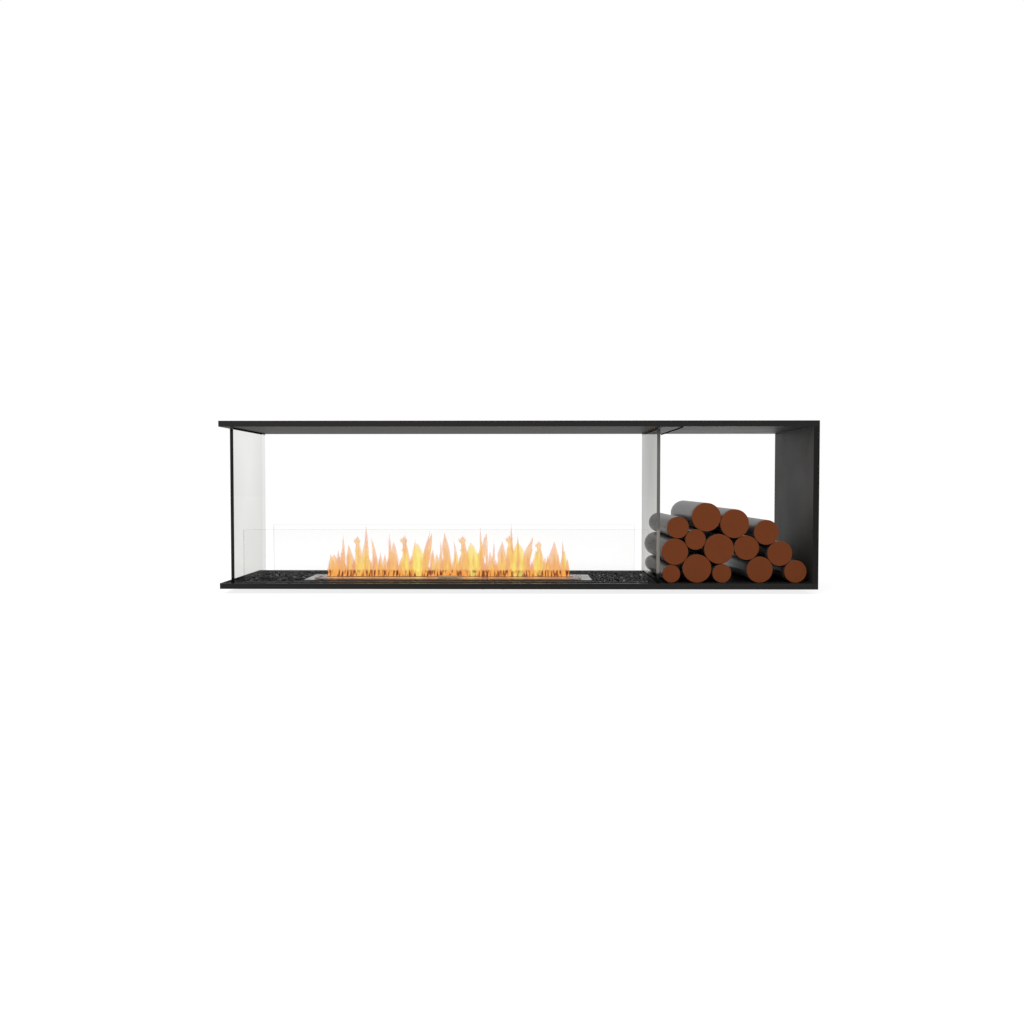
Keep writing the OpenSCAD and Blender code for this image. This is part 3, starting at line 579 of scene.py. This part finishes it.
class FIREPLACE_OT_studio(bpy.types.Operator):
    """Make the floor, the light and the camera"""
    bl_idname = "fireplace.studio"
    bl_label = "Studio"

    def execute(self, context):
        settings = context.scene.fireplace_studio
        self.make_floor(settings)
        self.make_light(context, settings)
        self.make_camera(context, settings)
        context.scene.view_settings.view_transform = "Standard"
        context.scene.cycles.transparent_max_bounces = 64
        return {"FINISHED"}

    def make_floor(self, settings):
        half = settings.floor_size / 2
        corners = [(-half, -half, 0), (half, -half, 0), (half, half, 0), (-half, half, 0)]
        mesh = bpy.data.meshes.new("studio_floor")
        mesh.from_pydata(corners, [], [(0, 1, 2, 3)])
        mesh.materials.append(pale_floor("matt_pale_floor", settings.floor_colour, settings.floor_lift))
        floor = placed("studio_floor", mesh)

    def make_light(self, context, settings):
        """Even daylight from all round, behind it a white background, and a large soft lamp at the
        upper left of the camera."""
        world = bpy.data.worlds.new("even_daylight")
        world.use_nodes = True
        tree = world.node_tree
        tree.nodes.clear()
        seen = add(tree, "Background", {"Color": WHITE, "Strength": 1.0})
        light = add(tree, "Background", {"Color": WHITE, "Strength": settings.daylight})
        both = add(tree, "MixShader", {0: seen_rays(tree), 1: light, 2: seen})
        add(tree, "OutputWorld", {"Surface": both})
        context.scene.world = world
        lamp = bpy.data.lights.new("soft_lamp", "AREA")
        lamp.shape = "SQUARE"
        lamp.size = 3.0
        lamp.energy = settings.lamp_power
        holder = placed("soft_lamp", lamp)
        holder.location = (-1.2, -2.6, 3.0)
        holder.rotation_euler = (math.radians(40), 0, math.radians(-22))

    def make_camera(self, context, settings):
        camera = bpy.data.cameras.new("photo_camera")
        camera.sensor_width = 36.0
        camera.lens = settings.camera_lens
        holder = placed("photo_camera", camera)
        holder.location = settings.camera_place
        holder.rotation_euler = (math.pi / 2 - settings.camera_down, 0, settings.camera_yaw)
        context.scene.camera = holder


class FIREPLACE_OT_coated_steel(bpy.types.Operator):
    """Finish the coated steel, the galvanised parts and the hidden boards"""
    bl_idname = "fireplace.coated_steel"
    bl_label = "Coated steel"

    def execute(self, context):
        settings = context.scene.fireplace_coat
        dress(["plinth_rails", "plinth_cross_bars", "log_base_shell", "log_base_bottom",
               "log_base_stiffeners", "left_lower_channel", "divider_lower_channel",
               "front_screen_channel", "rear_screen_channel", "fire_canopy_shell", "log_canopy_shell"],
              powder_coat("satin_black_powder_coat", settings.coat, 0.48, 0.17))
        dress(["side_outer_panel"], powder_coat("side_panel_powder_coat", settings.coat, 0.5, 0.1))
        dress(["fire_base_tray"], tray_coat("tray_powder_coat", settings.coat, top_of("fire_base_tray")))
        dress(["log_canopy_lining", "joint_cover_plate", "left_upper_channel", "divider_upper_channel"],
              powder_coat("lining_powder_coat", settings.lining, 0.5, 0.21))
        dress(["fire_canopy_lining"], fine_texture_coat("fire_lining_fine_coat", settings.lining, 0.112))
        dress(["side_inner_panel"], powder_coat("inner_panel_powder_coat", settings.lining, 0.5, 0.11))
        dress(["fire_floor_plate"],
              fine_texture_coat("fine_texture_dark_coat", settings.floor_plate, 0.02))
        dress(["burner_seat_angles", "canopy_stiffeners", "side_posts", "module_bolts"],
              zinc_spangle("hot_dip_zinc"))
        dress(["canopy_heat_boards", "ceramic_wick"],
              matt_fibre("ceramic_fibre", linear("#DDD8CC"), linear("#B9B3A4"), 0.004))
        dress(["glass_setting_pads"],
              matt_fibre("black_rubber", linear("#232323"), linear("#151515"), 0.002))
        # Painted highlight: the seals' level faces are whiter than their upright ones.
        dress(["screen_seals"], clear_silicone("clear_seal_silicone", 0.3, 0.03))
        dress(["glass_edge_stops"], clear_silicone("clear_stop_silicone", 0.16, 0.16))
        dress(["canopy_screws", "side_screws"],
              brushed_steel("blackened_screw_steel", linear("#3A3937"), 0.4, linear("#8A8A8A")))
        return {"FINISHED"}


class FIREPLACE_OT_joint_shade_strip(bpy.types.Operator):
    """Fill the open joint under the canopy with a black strip, painted shade of that joint"""
    bl_idname = "fireplace.joint_gasket"
    bl_label = "Joint shade strip"

    def execute(self, context):
        """A slab with round rims between the cover plate and the lining over the logs, a gap clear of
        both. It hangs below the cover plate, ends short of it at the front and the back and rises into
        the joint."""
        gap, hangs, short, rises, arris = 0.0001, 0.0024, 0.0005, 0.0008, 0.0005
        cover_low, cover_high = node_box("joint_cover_plate")
        lining_low = node_box("log_canopy_lining")[0]
        low = np.array([cover_high[X] + gap, cover_low[Y] + short, cover_low[Z] - hangs])
        high = np.array([lining_low[X] - gap, cover_high[Y] - short, cover_high[Z] + rises])
        points, faces = slab(low, high, Y, arris, arris)
        # Painted shade: the near-black strip stands in for the shade in the open joint; the joint itself
        # is real.
        shade_black = fine_texture_coat("black_gasket_rubber", linear("#0A0A0A"), 0.005)
        piece("joint_gasket", points, faces, [shade_black], "root")
        return {"FINISHED"}


class FIREPLACE_OT_burner(bpy.types.Operator):
    """Finish the burner, its slot ring and the sliding shutter"""
    bl_idname = "fireplace.burner"
    bl_label = "Burner"

    def execute(self, context):
        dress(["burner_top_plate"], powder_coat("smooth_burner_plate", linear("#221E1C"), 0.22, 0.37))
        dress(["slot_ring", "shutter_runners", "shutter_plate"],
              brushed_steel("brushed_stainless_trim", linear("#B9B0A9"), 0.3, linear("#C4BCB6")))
        dress(["fuel_box", "wick_retainer"],
              brushed_steel("heat_tinted_stainless", linear("#7A6A5E"), 0.4, linear("#8C8681")))
        dress(["shutter_grip"],
              brushed_steel("straw_tinted_stainless", linear("#E8C08A"), 0.3, linear("#D9B384")))
        return {"FINISHED"}


class FIREPLACE_OT_glass(bpy.types.Operator):
    """Make the tall panes and the low windscreens with polished edges"""
    bl_idname = "fireplace.glass"
    bl_label = "Glass"

    def execute(self, context):
        """The bands of painted shade, which stand in for the shaded channels seen through the glass,
        begin a little below the lining. The divider's edge is dark up to divider_dark over the rim of the
        tray, and a windscreen's up to screen_dark. All take the tone of the left pane's edge there. Above
        that and up to the tops of the windscreens the divider's edge is lighter, a painted reflection of
        the white background, and it changes again at their tops."""
        settings = context.scene.fireplace_glass
        below_lining, divider_dark, screen_dark, mirror = 0.004, 0.028, 0.012, 0.01
        band = node_box("fire_canopy_lining")[0][Z] - below_lining
        rim, screen_top = top_of("fire_base_tray"), top_of("front_screen")
        dark, grey = settings.left_edge, settings.screen_edge
        # The divider's lighter middle colour is a painted reflection of the white background.
        divider_edge = (dark, settings.divider_low_edge_reflection, settings.divider_edge)
        for side, slanting, painted_shade, colours, from_inside in (
                ("left", "#D8D8D7", settings.left_channel_shade, (dark, dark, dark), 0.0),
                ("divider", "#D5D5D4", settings.divider_channel_shade, divider_edge, 0.25)):
            glass = float_glass("toughened_" + side + "_glass", linear("#F5F5F4"), linear(slanting),
                                mirror, (band, painted_shade))
            edge = polished_edge(side + "_pane_edge", colours, (rim + divider_dark, screen_top),
                                 1.0, from_inside)
            self.make_pane(side + "_pane", side + "_glass", X, settings.arris, "root", [glass, edge])
        glass = float_glass("toughened_low_glass", linear("#FDFDFD"), linear("#DADAD9"), mirror)
        edge = polished_edge("windscreen_edge", (dark, grey, grey), (rim + screen_dark, screen_top),
                             0.3, 0.6, 1.7)
        for side in ("front", "rear"):
            self.make_pane(side + "_windscreen_pane", side + "_screen", Y, settings.screen_arris,
                           side + "_windscreen", [glass, edge])
        return {"FINISHED"}

    def make_pane(self, name, node, axis, arris, body, materials):
        """A slab across an axis in a CAD pane's place. Its two broad faces, which are its caps, take
        the first material, and its edges the second."""
        points, faces = slab(*node_box(node), axis, 2 * arris, arris)
        marks = [1] * (len(faces) - 2) + [0, 0]
        piece(name, points, faces, materials, body, marks, (node,))


class FIREPLACE_OT_crushed_glass(bpy.types.Operator):
    """Fill the four beds with lumps of crushed black glass"""
    bl_idname = "fireplace.crushed_glass"
    bl_label = "Crushed glass"

    def execute(self, context):
        settings = context.scene.fireplace_crushed_glass
        material = black_glass("crushed_black_glass", settings.colour, settings.painted_glint)
        first_seed, margin_step = 40, 9
        for number, side in enumerate(("left", "right", "front", "rear")):
            node = "crushed_glass_" + side
            for part, (low, high) in enumerate(self.beds(node)):
                name = node + ("_lumps" if part == 0 else "_margin_lumps")
                rng = np.random.default_rng(first_seed + number + margin_step * part)
                self.make_bed(settings, material, node, name, low, high, rng)
        return {"FINISHED"}

    def beds(self, node):
        """Lowest and highest corners of a node's beds. The left node has one on each side of the left
        pane."""
        corners = mesh_points(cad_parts[node].data)
        beyond = corners[:, X] < node_box("left_glass")[0][X]
        groups = [corners[~beyond], corners[beyond]] if node == "crushed_glass_left" else [corners]
        return [(group.min(axis=0), group.max(axis=0)) for group in groups]

    def make_bed(self, settings, material, node, name, low, high, rng):
        """A flat dark bed, of the share filled of the node's height, with two layers of lumps on it, at
        the points of a jittered grid. The middles of the lumps stay a margin inside the bed and lie at
        the two depths below its top, sunk or raised a little. All but filled and rounding are in
        lumps."""
        size = settings.lump
        margin, grid_margin = 0.55 * size, 0.6 * size
        depths, sunk, raised, smallest, largest = (0.9, 0.55), 0.25, 0.04, 0.6, 1.1
        jitter, filled, rounding = 0.3, 0.3, 0.001
        layers = []
        for depth in depths:
            counts = np.floor((high - low - 2 * margin)[:2] / settings.pitch).astype(int)
            steps = [np.linspace(low[k] + grid_margin, high[k] - grid_margin, max(counts[k], 1) + 1)
                     for k in (X, Y)]
            grid = np.stack(np.meshgrid(*steps, indexing="ij"), axis=-1).reshape(-1, 2)
            grid = grid + rng.uniform(-jitter, jitter, grid.shape) * settings.pitch
            grid = np.clip(grid, low[:2] + margin, high[:2] - margin)
            level = high[Z] - depth * size
            layers.append(np.column_stack([grid, level + rng.uniform(-sunk, raised, len(grid)) * size]))
        centres = np.vstack(layers)
        points, faces = self.lumps(centres, size * rng.uniform(smallest, largest, len(centres)), rng)
        flat_top = low[Z] + filled * (high[Z] - low[Z])
        block, block_faces = slab(low, np.array([high[X], high[Y], flat_top]), Z, rounding, rounding)
        block = block.reshape(-1, 3)
        faces += [[i + len(points) for i in face] for face in block_faces]
        made = piece(name, np.vstack([points, block]), faces, [material], "root",
                     stands_for=(node,), sharp=1)
        luck = np.repeat(rng.random(len(centres)), len(points) // len(centres))
        mark_points(made, "luck", np.concatenate([luck, np.zeros(len(block))]))

    def lumps(self, centres, sizes, rng):
        """Broken lumps, all as one array: the 12 corners of an icosahedron, which lie on three upright
        rectangles, each pushed in to 0.67 of its radius or more, squeezed along X, Y and Z to 0.55 or
        more, turned by a random unit quaternion, scaled and moved to its centre."""
        golden = (1 + 5 ** 0.5) / 2
        upright = np.array([(-1, golden, 0), (1, golden, 0), (-1, -golden, 0), (1, -golden, 0)])
        corners = np.vstack([np.roll(upright, k, axis=1) for k in (0, 1, 2)]) / math.hypot(1, golden)
        sides = np.array([
            (0, 11, 5), (0, 5, 1), (0, 1, 7), (0, 7, 10), (0, 10, 11), (1, 5, 9), (5, 11, 4), (11, 10, 2),
            (10, 7, 6), (7, 1, 8), (3, 9, 4), (3, 4, 2), (3, 2, 6), (3, 6, 8), (3, 8, 9), (4, 9, 5),
            (2, 4, 11), (6, 2, 10), (8, 6, 7), (9, 8, 1)])
        count = len(centres)
        shape = corners * rng.uniform(0.67, 1.0, (count, 12, 1)) * rng.uniform(0.55, 1.0, (count, 1, 3))
        quaternion = rng.normal(size=(count, 4))
        w, x, y, z = (quaternion / np.linalg.norm(quaternion, axis=1)[:, None]).T
        turn = np.array([
            [1 - 2 * (y * y + z * z), 2 * (x * y - z * w), 2 * (x * z + y * w)],
            [2 * (x * y + z * w), 1 - 2 * (x * x + z * z), 2 * (y * z - x * w)],
            [2 * (x * z - y * w), 2 * (y * z + x * w), 1 - 2 * (x * x + y * y)]]).transpose(2, 0, 1)
        points = np.einsum("nij,nkj->nki", turn, shape) * (0.5 * sizes[:, None, None])
        points = points + centres[:, None, :]
        faces = sides[None] + len(corners) * np.arange(count)[:, None, None]
        return points.reshape(-1, 3), faces.reshape(-1, 3).tolist()


class FIREPLACE_OT_logs(bpy.types.Operator):
    """Make the stacked logs with rounded rims and red-brown ends"""
    bl_idname = "fireplace.logs"
    bl_label = "Logs"

    def execute(self, context):
        settings = context.scene.fireplace_logs
        side = log_side("grey_glazed_side", settings.side)
        end = log_end("red_brown_end", settings.end)
        for node in sorted(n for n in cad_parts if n.startswith("log_") and n[4:].isdigit()):
            self.make_log(settings, node, [side, end], np.random.default_rng(int(node[4:])))
        return {"FINISHED"}

    def make_log(self, settings, node, materials, rng):
        """A turned log: a profile of (inset from the full radius, distance along the log) carried round
        the axis. The side thins by up to twice the swell, and each end is hollow by up to a little over
        half a millimetre. The ends take the second material, up to the full radius."""
        around, along, hollow, swell = 64, 9, 0.0006, 0.0004
        low, high = node_box(node)
        middle = (low + high) / 2
        radius = (high[Z] - low[Z]) / 2
        length = high[Y] - low[Y]
        rim = settings.rim
        front = [(radius * (1 - k), hollow * (1 - k ** 2)) for k in (0.02, 0.3, 0.6, 0.9)]
        quarter = np.linspace(0, np.pi / 2, 4)
        first = np.array(front + [(rim * (1 - math.sin(a)), rim * (1 - math.cos(a))) for a in quarter])
        straight = np.column_stack([np.zeros(along), np.linspace(0.1, 0.9, along) * length])
        last = np.column_stack([first[::-1, 0], length - first[::-1, 1]])
        inset, distance = np.hsplit(np.vstack([first, straight, last]), 2)
        turn = np.linspace(0, 2 * np.pi, around, endpoint=False)
        wave = swell * (np.sin(2 * turn + rng.uniform(0, 6)) - 1)[None, :] * (inset < rim)
        reach = radius - inset + wave
        x = middle[X] + reach * np.cos(turn)
        y = low[Y] + np.repeat(distance, around, axis=1)
        z = middle[Z] + reach * np.sin(turn)
        layers = np.stack([x, y, z], axis=-1)[:, ::-1]
        ends = len(first) - 1
        bands = [1] * ends + [0] * (len(layers) - 1 - 2 * ends) + [1] * ends
        marks = np.repeat(bands, around).tolist() + [1, 1]
        made = piece(node + "_turned", layers, capped(layers), materials, "root",
                     marks, (node,))
        self.chart(made.data, middle)

    def chart(self, mesh, middle):
        """The rings map: each point's distance from the log's axis along X and along Z, in metres."""
        corner_point = np.zeros(len(mesh.loops), np.int32)
        mesh.loops.foreach_get("vertex_index", corner_point)
        flat = (mesh_points(mesh) - middle)[:, [X, Z]][corner_point]
        mesh.uv_layers.new(name="rings").data.foreach_set("uv", flat.astype(np.float32).ravel())


# The kinds of flame. In turn: how narrow the foot is, the belly and the taper of the curve by which it
# thins to its tip (a high belly keeps it wide for longer, a high taper draws the tip out), the knob
# near the tip and the beak to the left of that knob, both as shares of the width, how hot it is and how
# well it covers.
FLAME_KINDS = {
    "leaf": (0.3, 2.3, 0.95, 0.0, 0.0, 0.25, 0.85),
    "spike": (0.6, 1.5, 1.1, 0.0, 0.0, 0.1, 0.75),
    "curl": (0.3, 1.4, 1.1, 0.34, 0.42, 0.4, 1.0),
    "core": (0.35, 2.4, 0.95, 0.0, 0.0, 0.85, 1.15),
    "wisp": (0.9, 1.5, 1.0, 0.0, 0.0, 0.2, 0.8),
}
# The main flames, chosen to follow the photograph, in millimetres: place along the slot from
# the middle of the burner, height above the plate, width and lean of the tip.
MAIN_FLAMES = [
    ("leaf", -372, 76, 40, 2), ("spike", -349, 80, 20, -6), ("spike", -343, 136, 34, 0),
    ("leaf", -316, 106, 30, -9), ("curl", -291, 134, 40, -3), ("spike", -269, 172, 40, 0),
    ("core", -266, 82, 30, -3), ("spike", -237, 132, 34, -14), ("wisp", -222, 84, 20, 0),
    ("spike", -192, 146, 30, 0), ("leaf", -177, 116, 32, -4), ("curl", -140, 136, 40, -5),
    ("spike", -142, 148, 12, 0), ("wisp", -118, 124, 20, 8), ("core", -100, 112, 52, -4),
    ("leaf", -82, 146, 28, 26), ("spike", -84, 154, 26, 22), ("wisp", -53, 98, 18, 0),
    ("spike", -29, 122, 22, 0), ("leaf", -8, 146, 32, -8), ("spike", 24, 122, 26, -12),
    ("core", 22, 78, 16, 2), ("curl", 48, 136, 42, -5), ("core", 76, 112, 60, -8),
    ("spike", 99, 166, 24, 0), ("leaf", 94, 146, 26, 26), ("spike", 120, 132, 18, 0),
    ("spike", 140, 122, 20, 2), ("leaf", 167, 118, 36, 2), ("curl", 197, 138, 42, -5),
    ("spike", 198, 180, 22, 0), ("spike", 219, 142, 26, 0), ("core", 224, 114, 58, -6),
    ("core", 210, 98, 36, 4), ("leaf", 240, 134, 30, 28), ("core", 275, 92, 16, 2),
    ("curl", 290, 118, 40, -4), ("wisp", 317, 74, 26, 2), ("leaf", 335, 118, 36, 0),
    ("spike", 361, 124, 22, 2), ("core", 369, 90, 18, -2), ("spike", 378, 66, 20, 0),
]
# The fringes of small flames: their pitch, least and most height, and least and most width, in metres.
FLAME_FRINGES = ((0.0085, 0.035, 0.062, 0.013, 0.02), (0.017, 0.055, 0.09, 0.018, 0.028))
# The three nested shells of a flame. In turn: how wide and how high they are beside the flame, their
# heat beside the flame's own, and the share of what is behind that one wall hides.
FLAME_SHELLS = {
    "flame_veils": (1.12, 1.0, -0.15, 0.2),
    "flame_bodies": (0.94, 0.97, 0.38, 0.55),
    "flame_cores": (0.6, 0.72, 0.55, 0.5),
}
# How far the flames stand behind the middle of the slot, above the closed shutter and inside the ends
# of the slot ring, and how far beside the shutter's pull tab their feet begin to spread, in metres.
FLAMES_BEHIND = 0.004
FLAMES_ABOVE_SHUTTER = 0.0003
FRINGE_INSIDE_RING = 0.026
FEET_BESIDE_GRIP = 0.004
# How far a foot spreads each way over the slot, in metres, and the share of the height that it fades in.
FOOT_SPREAD, FOOT_FADE = 0.0085, 0.07
# The reach of the widest shell to one side and the drawn width of a spike, as shares of the width.
WIDEST_REACH, SPIKE_WIDTH = 0.62, 0.7
# Each shell draws the same numbers, so that the three of a flame nest.
FRINGE_SEED, SHELL_SEED = 3, 7


class FIREPLACE_OT_flames(bpy.types.Operator):
    """Make the flames that rise from the burner slot"""
    bl_idname = "fireplace.flames"
    bl_label = "Flames"

    def execute(self, context):
        plate = top_of("burner_top_plate")
        material = flame_gas("burning_ethanol", context.scene.fireplace_flames, plate)
        ring_low, ring_high = node_box("slot_ring")
        foot = np.array([(ring_low[X] + ring_high[X]) / 2, self.slot_middle() + FLAMES_BEHIND,
                         top_of("shutter_plate") + FLAMES_ABOVE_SHUTTER])
        tongues = self.choose(ring_high[X] - ring_low[X])
        for name, shell in FLAME_SHELLS.items():
            rng = np.random.default_rng(SHELL_SEED)
            layers = [self.tongue(foot, plate, row, shell, rng) for row in tongues]
            self.join(name, layers, material)
        return {"FINISHED"}

    def slot_middle(self):
        """Middle of the flame slot along Y: apart from the outermost, the Y values of the ring's
        corners are the edges of the slot and of its collar, which lie evenly about that middle."""
        levels = np.unique(np.round(mesh_points(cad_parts["slot_ring"].data)[:, Y], 4))
        return float(levels[1:-1].mean())

    def choose(self, ring_length):
        """The main flames, and a low and a higher fringe of wisps along the whole slot, in metres."""
        rng = np.random.default_rng(FRINGE_SEED)
        shift, tilt = 0.003, 0.006
        chosen = []
        for kind, *sizes in MAIN_FLAMES:
            place, height, width, lean = [MILLIMETRE * size for size in sizes]
            chosen.append((kind, place, height, SPIKE_WIDTH * width if kind == "spike" else width, lean))
        half = ring_length / 2 - FRINGE_INSIDE_RING
        for pitch, lowest, highest, narrow, wide in FLAME_FRINGES:
            for place in np.arange(-half, half, pitch):
                chosen.append(("wisp", place + rng.uniform(-shift, shift), rng.uniform(lowest, highest),
                               rng.uniform(narrow, wide), rng.uniform(-tilt, tilt)))
        return chosen

    def beside_grip(self, place, width):
        """1 for a flame beside the path of the shutter's pull tab, and 0 for one in that path."""
        low, high = node_box("shutter_grip")
        reach = WIDEST_REACH * width + FEET_BESIDE_GRIP
        return float(place + reach < low[X] or place - reach > high[X])

    def tongue(self, foot, plate, row, shell, rng):
        """One closed shell. Along s from foot to tip its half width is
        w = width / 2 * (narrow + (1 - narrow) * ease(s / 0.28)) * (1 - s^belly)^taper,
        with a knob about s = 0.9 and a ripple. Its depth is 0.4 w, up to 5.5 mm, and its middle line
        bends by lean * s^1.6 with a sway that grows with s. Beside the pull tab its foot moves to the
        middle of the slot and spreads over it, FOOT_SPREAD * exp(-(s / FOOT_FADE)^2) deeper each way.
        Points on its left side stand out by beak * width / 2 * exp(-|s - 0.88| / 0.04) more. The gas
        gets cooler and thinner towards the tip."""
        kind, place, height, width, lean = row
        narrow, belly, taper, knob, beak, hot, thick = FLAME_KINDS[kind]
        shell_wide, shell_high, shell_heat, shell_hides = shell
        s = np.linspace(0, 1, 30)[:, None]
        t = np.linspace(0, 2 * np.pi, 14, endpoint=False)[None, :]
        phase, depth_shift = rng.uniform(0, 2 * np.pi), rng.uniform(-0.003, 0.003)
        swelling = np.clip(s / 0.28, 0, 1)
        ease = swelling ** 2 * (3 - 2 * swelling)
        wide = (narrow + (1 - narrow) * ease) * (1 - s ** belly) ** taper
        wide = wide + knob * np.exp(-((s - 0.9) / 0.06) ** 2) * (1 - s ** 30)
        wide = wide * (1 + 0.1 * np.sin(2 * np.pi * 2.1 * s + phase)) * width / 2 * shell_wide
        beaked = beak * width / 2 * np.exp(-np.abs(s - 0.88) / 0.04) * np.minimum(np.cos(t), 0)
        bend = lean * s ** 1.6 + 0.035 * height * np.sin(2 * np.pi * 1.2 * s + phase) * s * (1 - s)
        fill = np.exp(-(s / FOOT_FADE) ** 2) * self.beside_grip(foot[X] + place, width)
        deep = np.minimum(0.4 * wide, 0.0055) + FOOT_SPREAD * fill
        sway = 0.006 * s * np.sin(phase)
        x = foot[X] + place + bend + wide * np.cos(t) + beaked
        y = foot[Y] - FLAMES_BEHIND * fill + depth_shift * (1 - s) + sway + deep * np.sin(t)
        z = foot[Z] + (plate + height * shell_high - foot[Z]) * s + 0 * t
        rise = np.repeat(s, t.size, axis=1)
        heat = np.clip(shell_heat + hot - 0.3 * rise, 0, 1)
        hides = shell_hides * thick * (1 - 0.3 * rise ** 2)
        return np.stack([x, y, z], axis=-1), heat, hides

    def join(self, name, layers, material):
        """One mesh of all the closed shells, with the heat of each point and the share it hides."""
        points, heat, hides = [np.array(part) for part in zip(*layers)]
        count, rows, columns = heat.shape
        one = grid_faces(rows, columns) + [list(range(columns))[::-1]]
        faces = [[i + k * rows * columns for i in face] for k in range(count) for face in one]
        made = piece(name, points, faces, [material], "burner", sharp=180)
        mark_points(made, "gas_heat", heat.ravel())
        mark_points(made, "gas_share", hides.ravel())


class FIREPLACE_PT_panel(bpy.types.Panel):
    """Lists the steps that dress the fireplace"""
    bl_idname = "FIREPLACE_PT_panel"
    bl_label = "Fireplace"
    bl_space_type = "VIEW_3D"
    bl_region_type = "UI"
    bl_category = "Fireplace"

    def draw(self, context):
        for step in STEPS:
            self.layout.operator(step.bl_idname)
        for name, group in SETTINGS.items():
            for key in group.__annotations__:
                self.layout.prop(getattr(context.scene, name), key)


STEPS = (
    FIREPLACE_OT_studio,
    FIREPLACE_OT_coated_steel,
    FIREPLACE_OT_joint_shade_strip,
    FIREPLACE_OT_burner,
    FIREPLACE_OT_glass,
    FIREPLACE_OT_crushed_glass,
    FIREPLACE_OT_logs,
    FIREPLACE_OT_flames,
)
SETTINGS = {
    "fireplace_studio": StudioSettings,
    "fireplace_coat": CoatSettings,
    "fireplace_glass": GlassSettings,
    "fireplace_crushed_glass": CrushedGlassSettings,
    "fireplace_logs": LogSettings,
    "fireplace_flames": FlameSettings,
}


def register():
    for made in (*SETTINGS.values(), *STEPS, FIREPLACE_PT_panel):
        bpy.utils.register_class(made)
    for name, group in SETTINGS.items():
        setattr(bpy.types.Scene, name, bpy.props.PointerProperty(type=group))


def unregister():
    for name in SETTINGS:
        delattr(bpy.types.Scene, name)
    for made in (FIREPLACE_PT_panel, *reversed(STEPS), *reversed(SETTINGS.values())):
        bpy.utils.unregister_class(made)


def main():
    register()
    for step in STEPS:
        group, name = step.bl_idname.split(".")
        getattr(getattr(bpy.ops, group), name)()


if __name__ == "__main__":
    main()
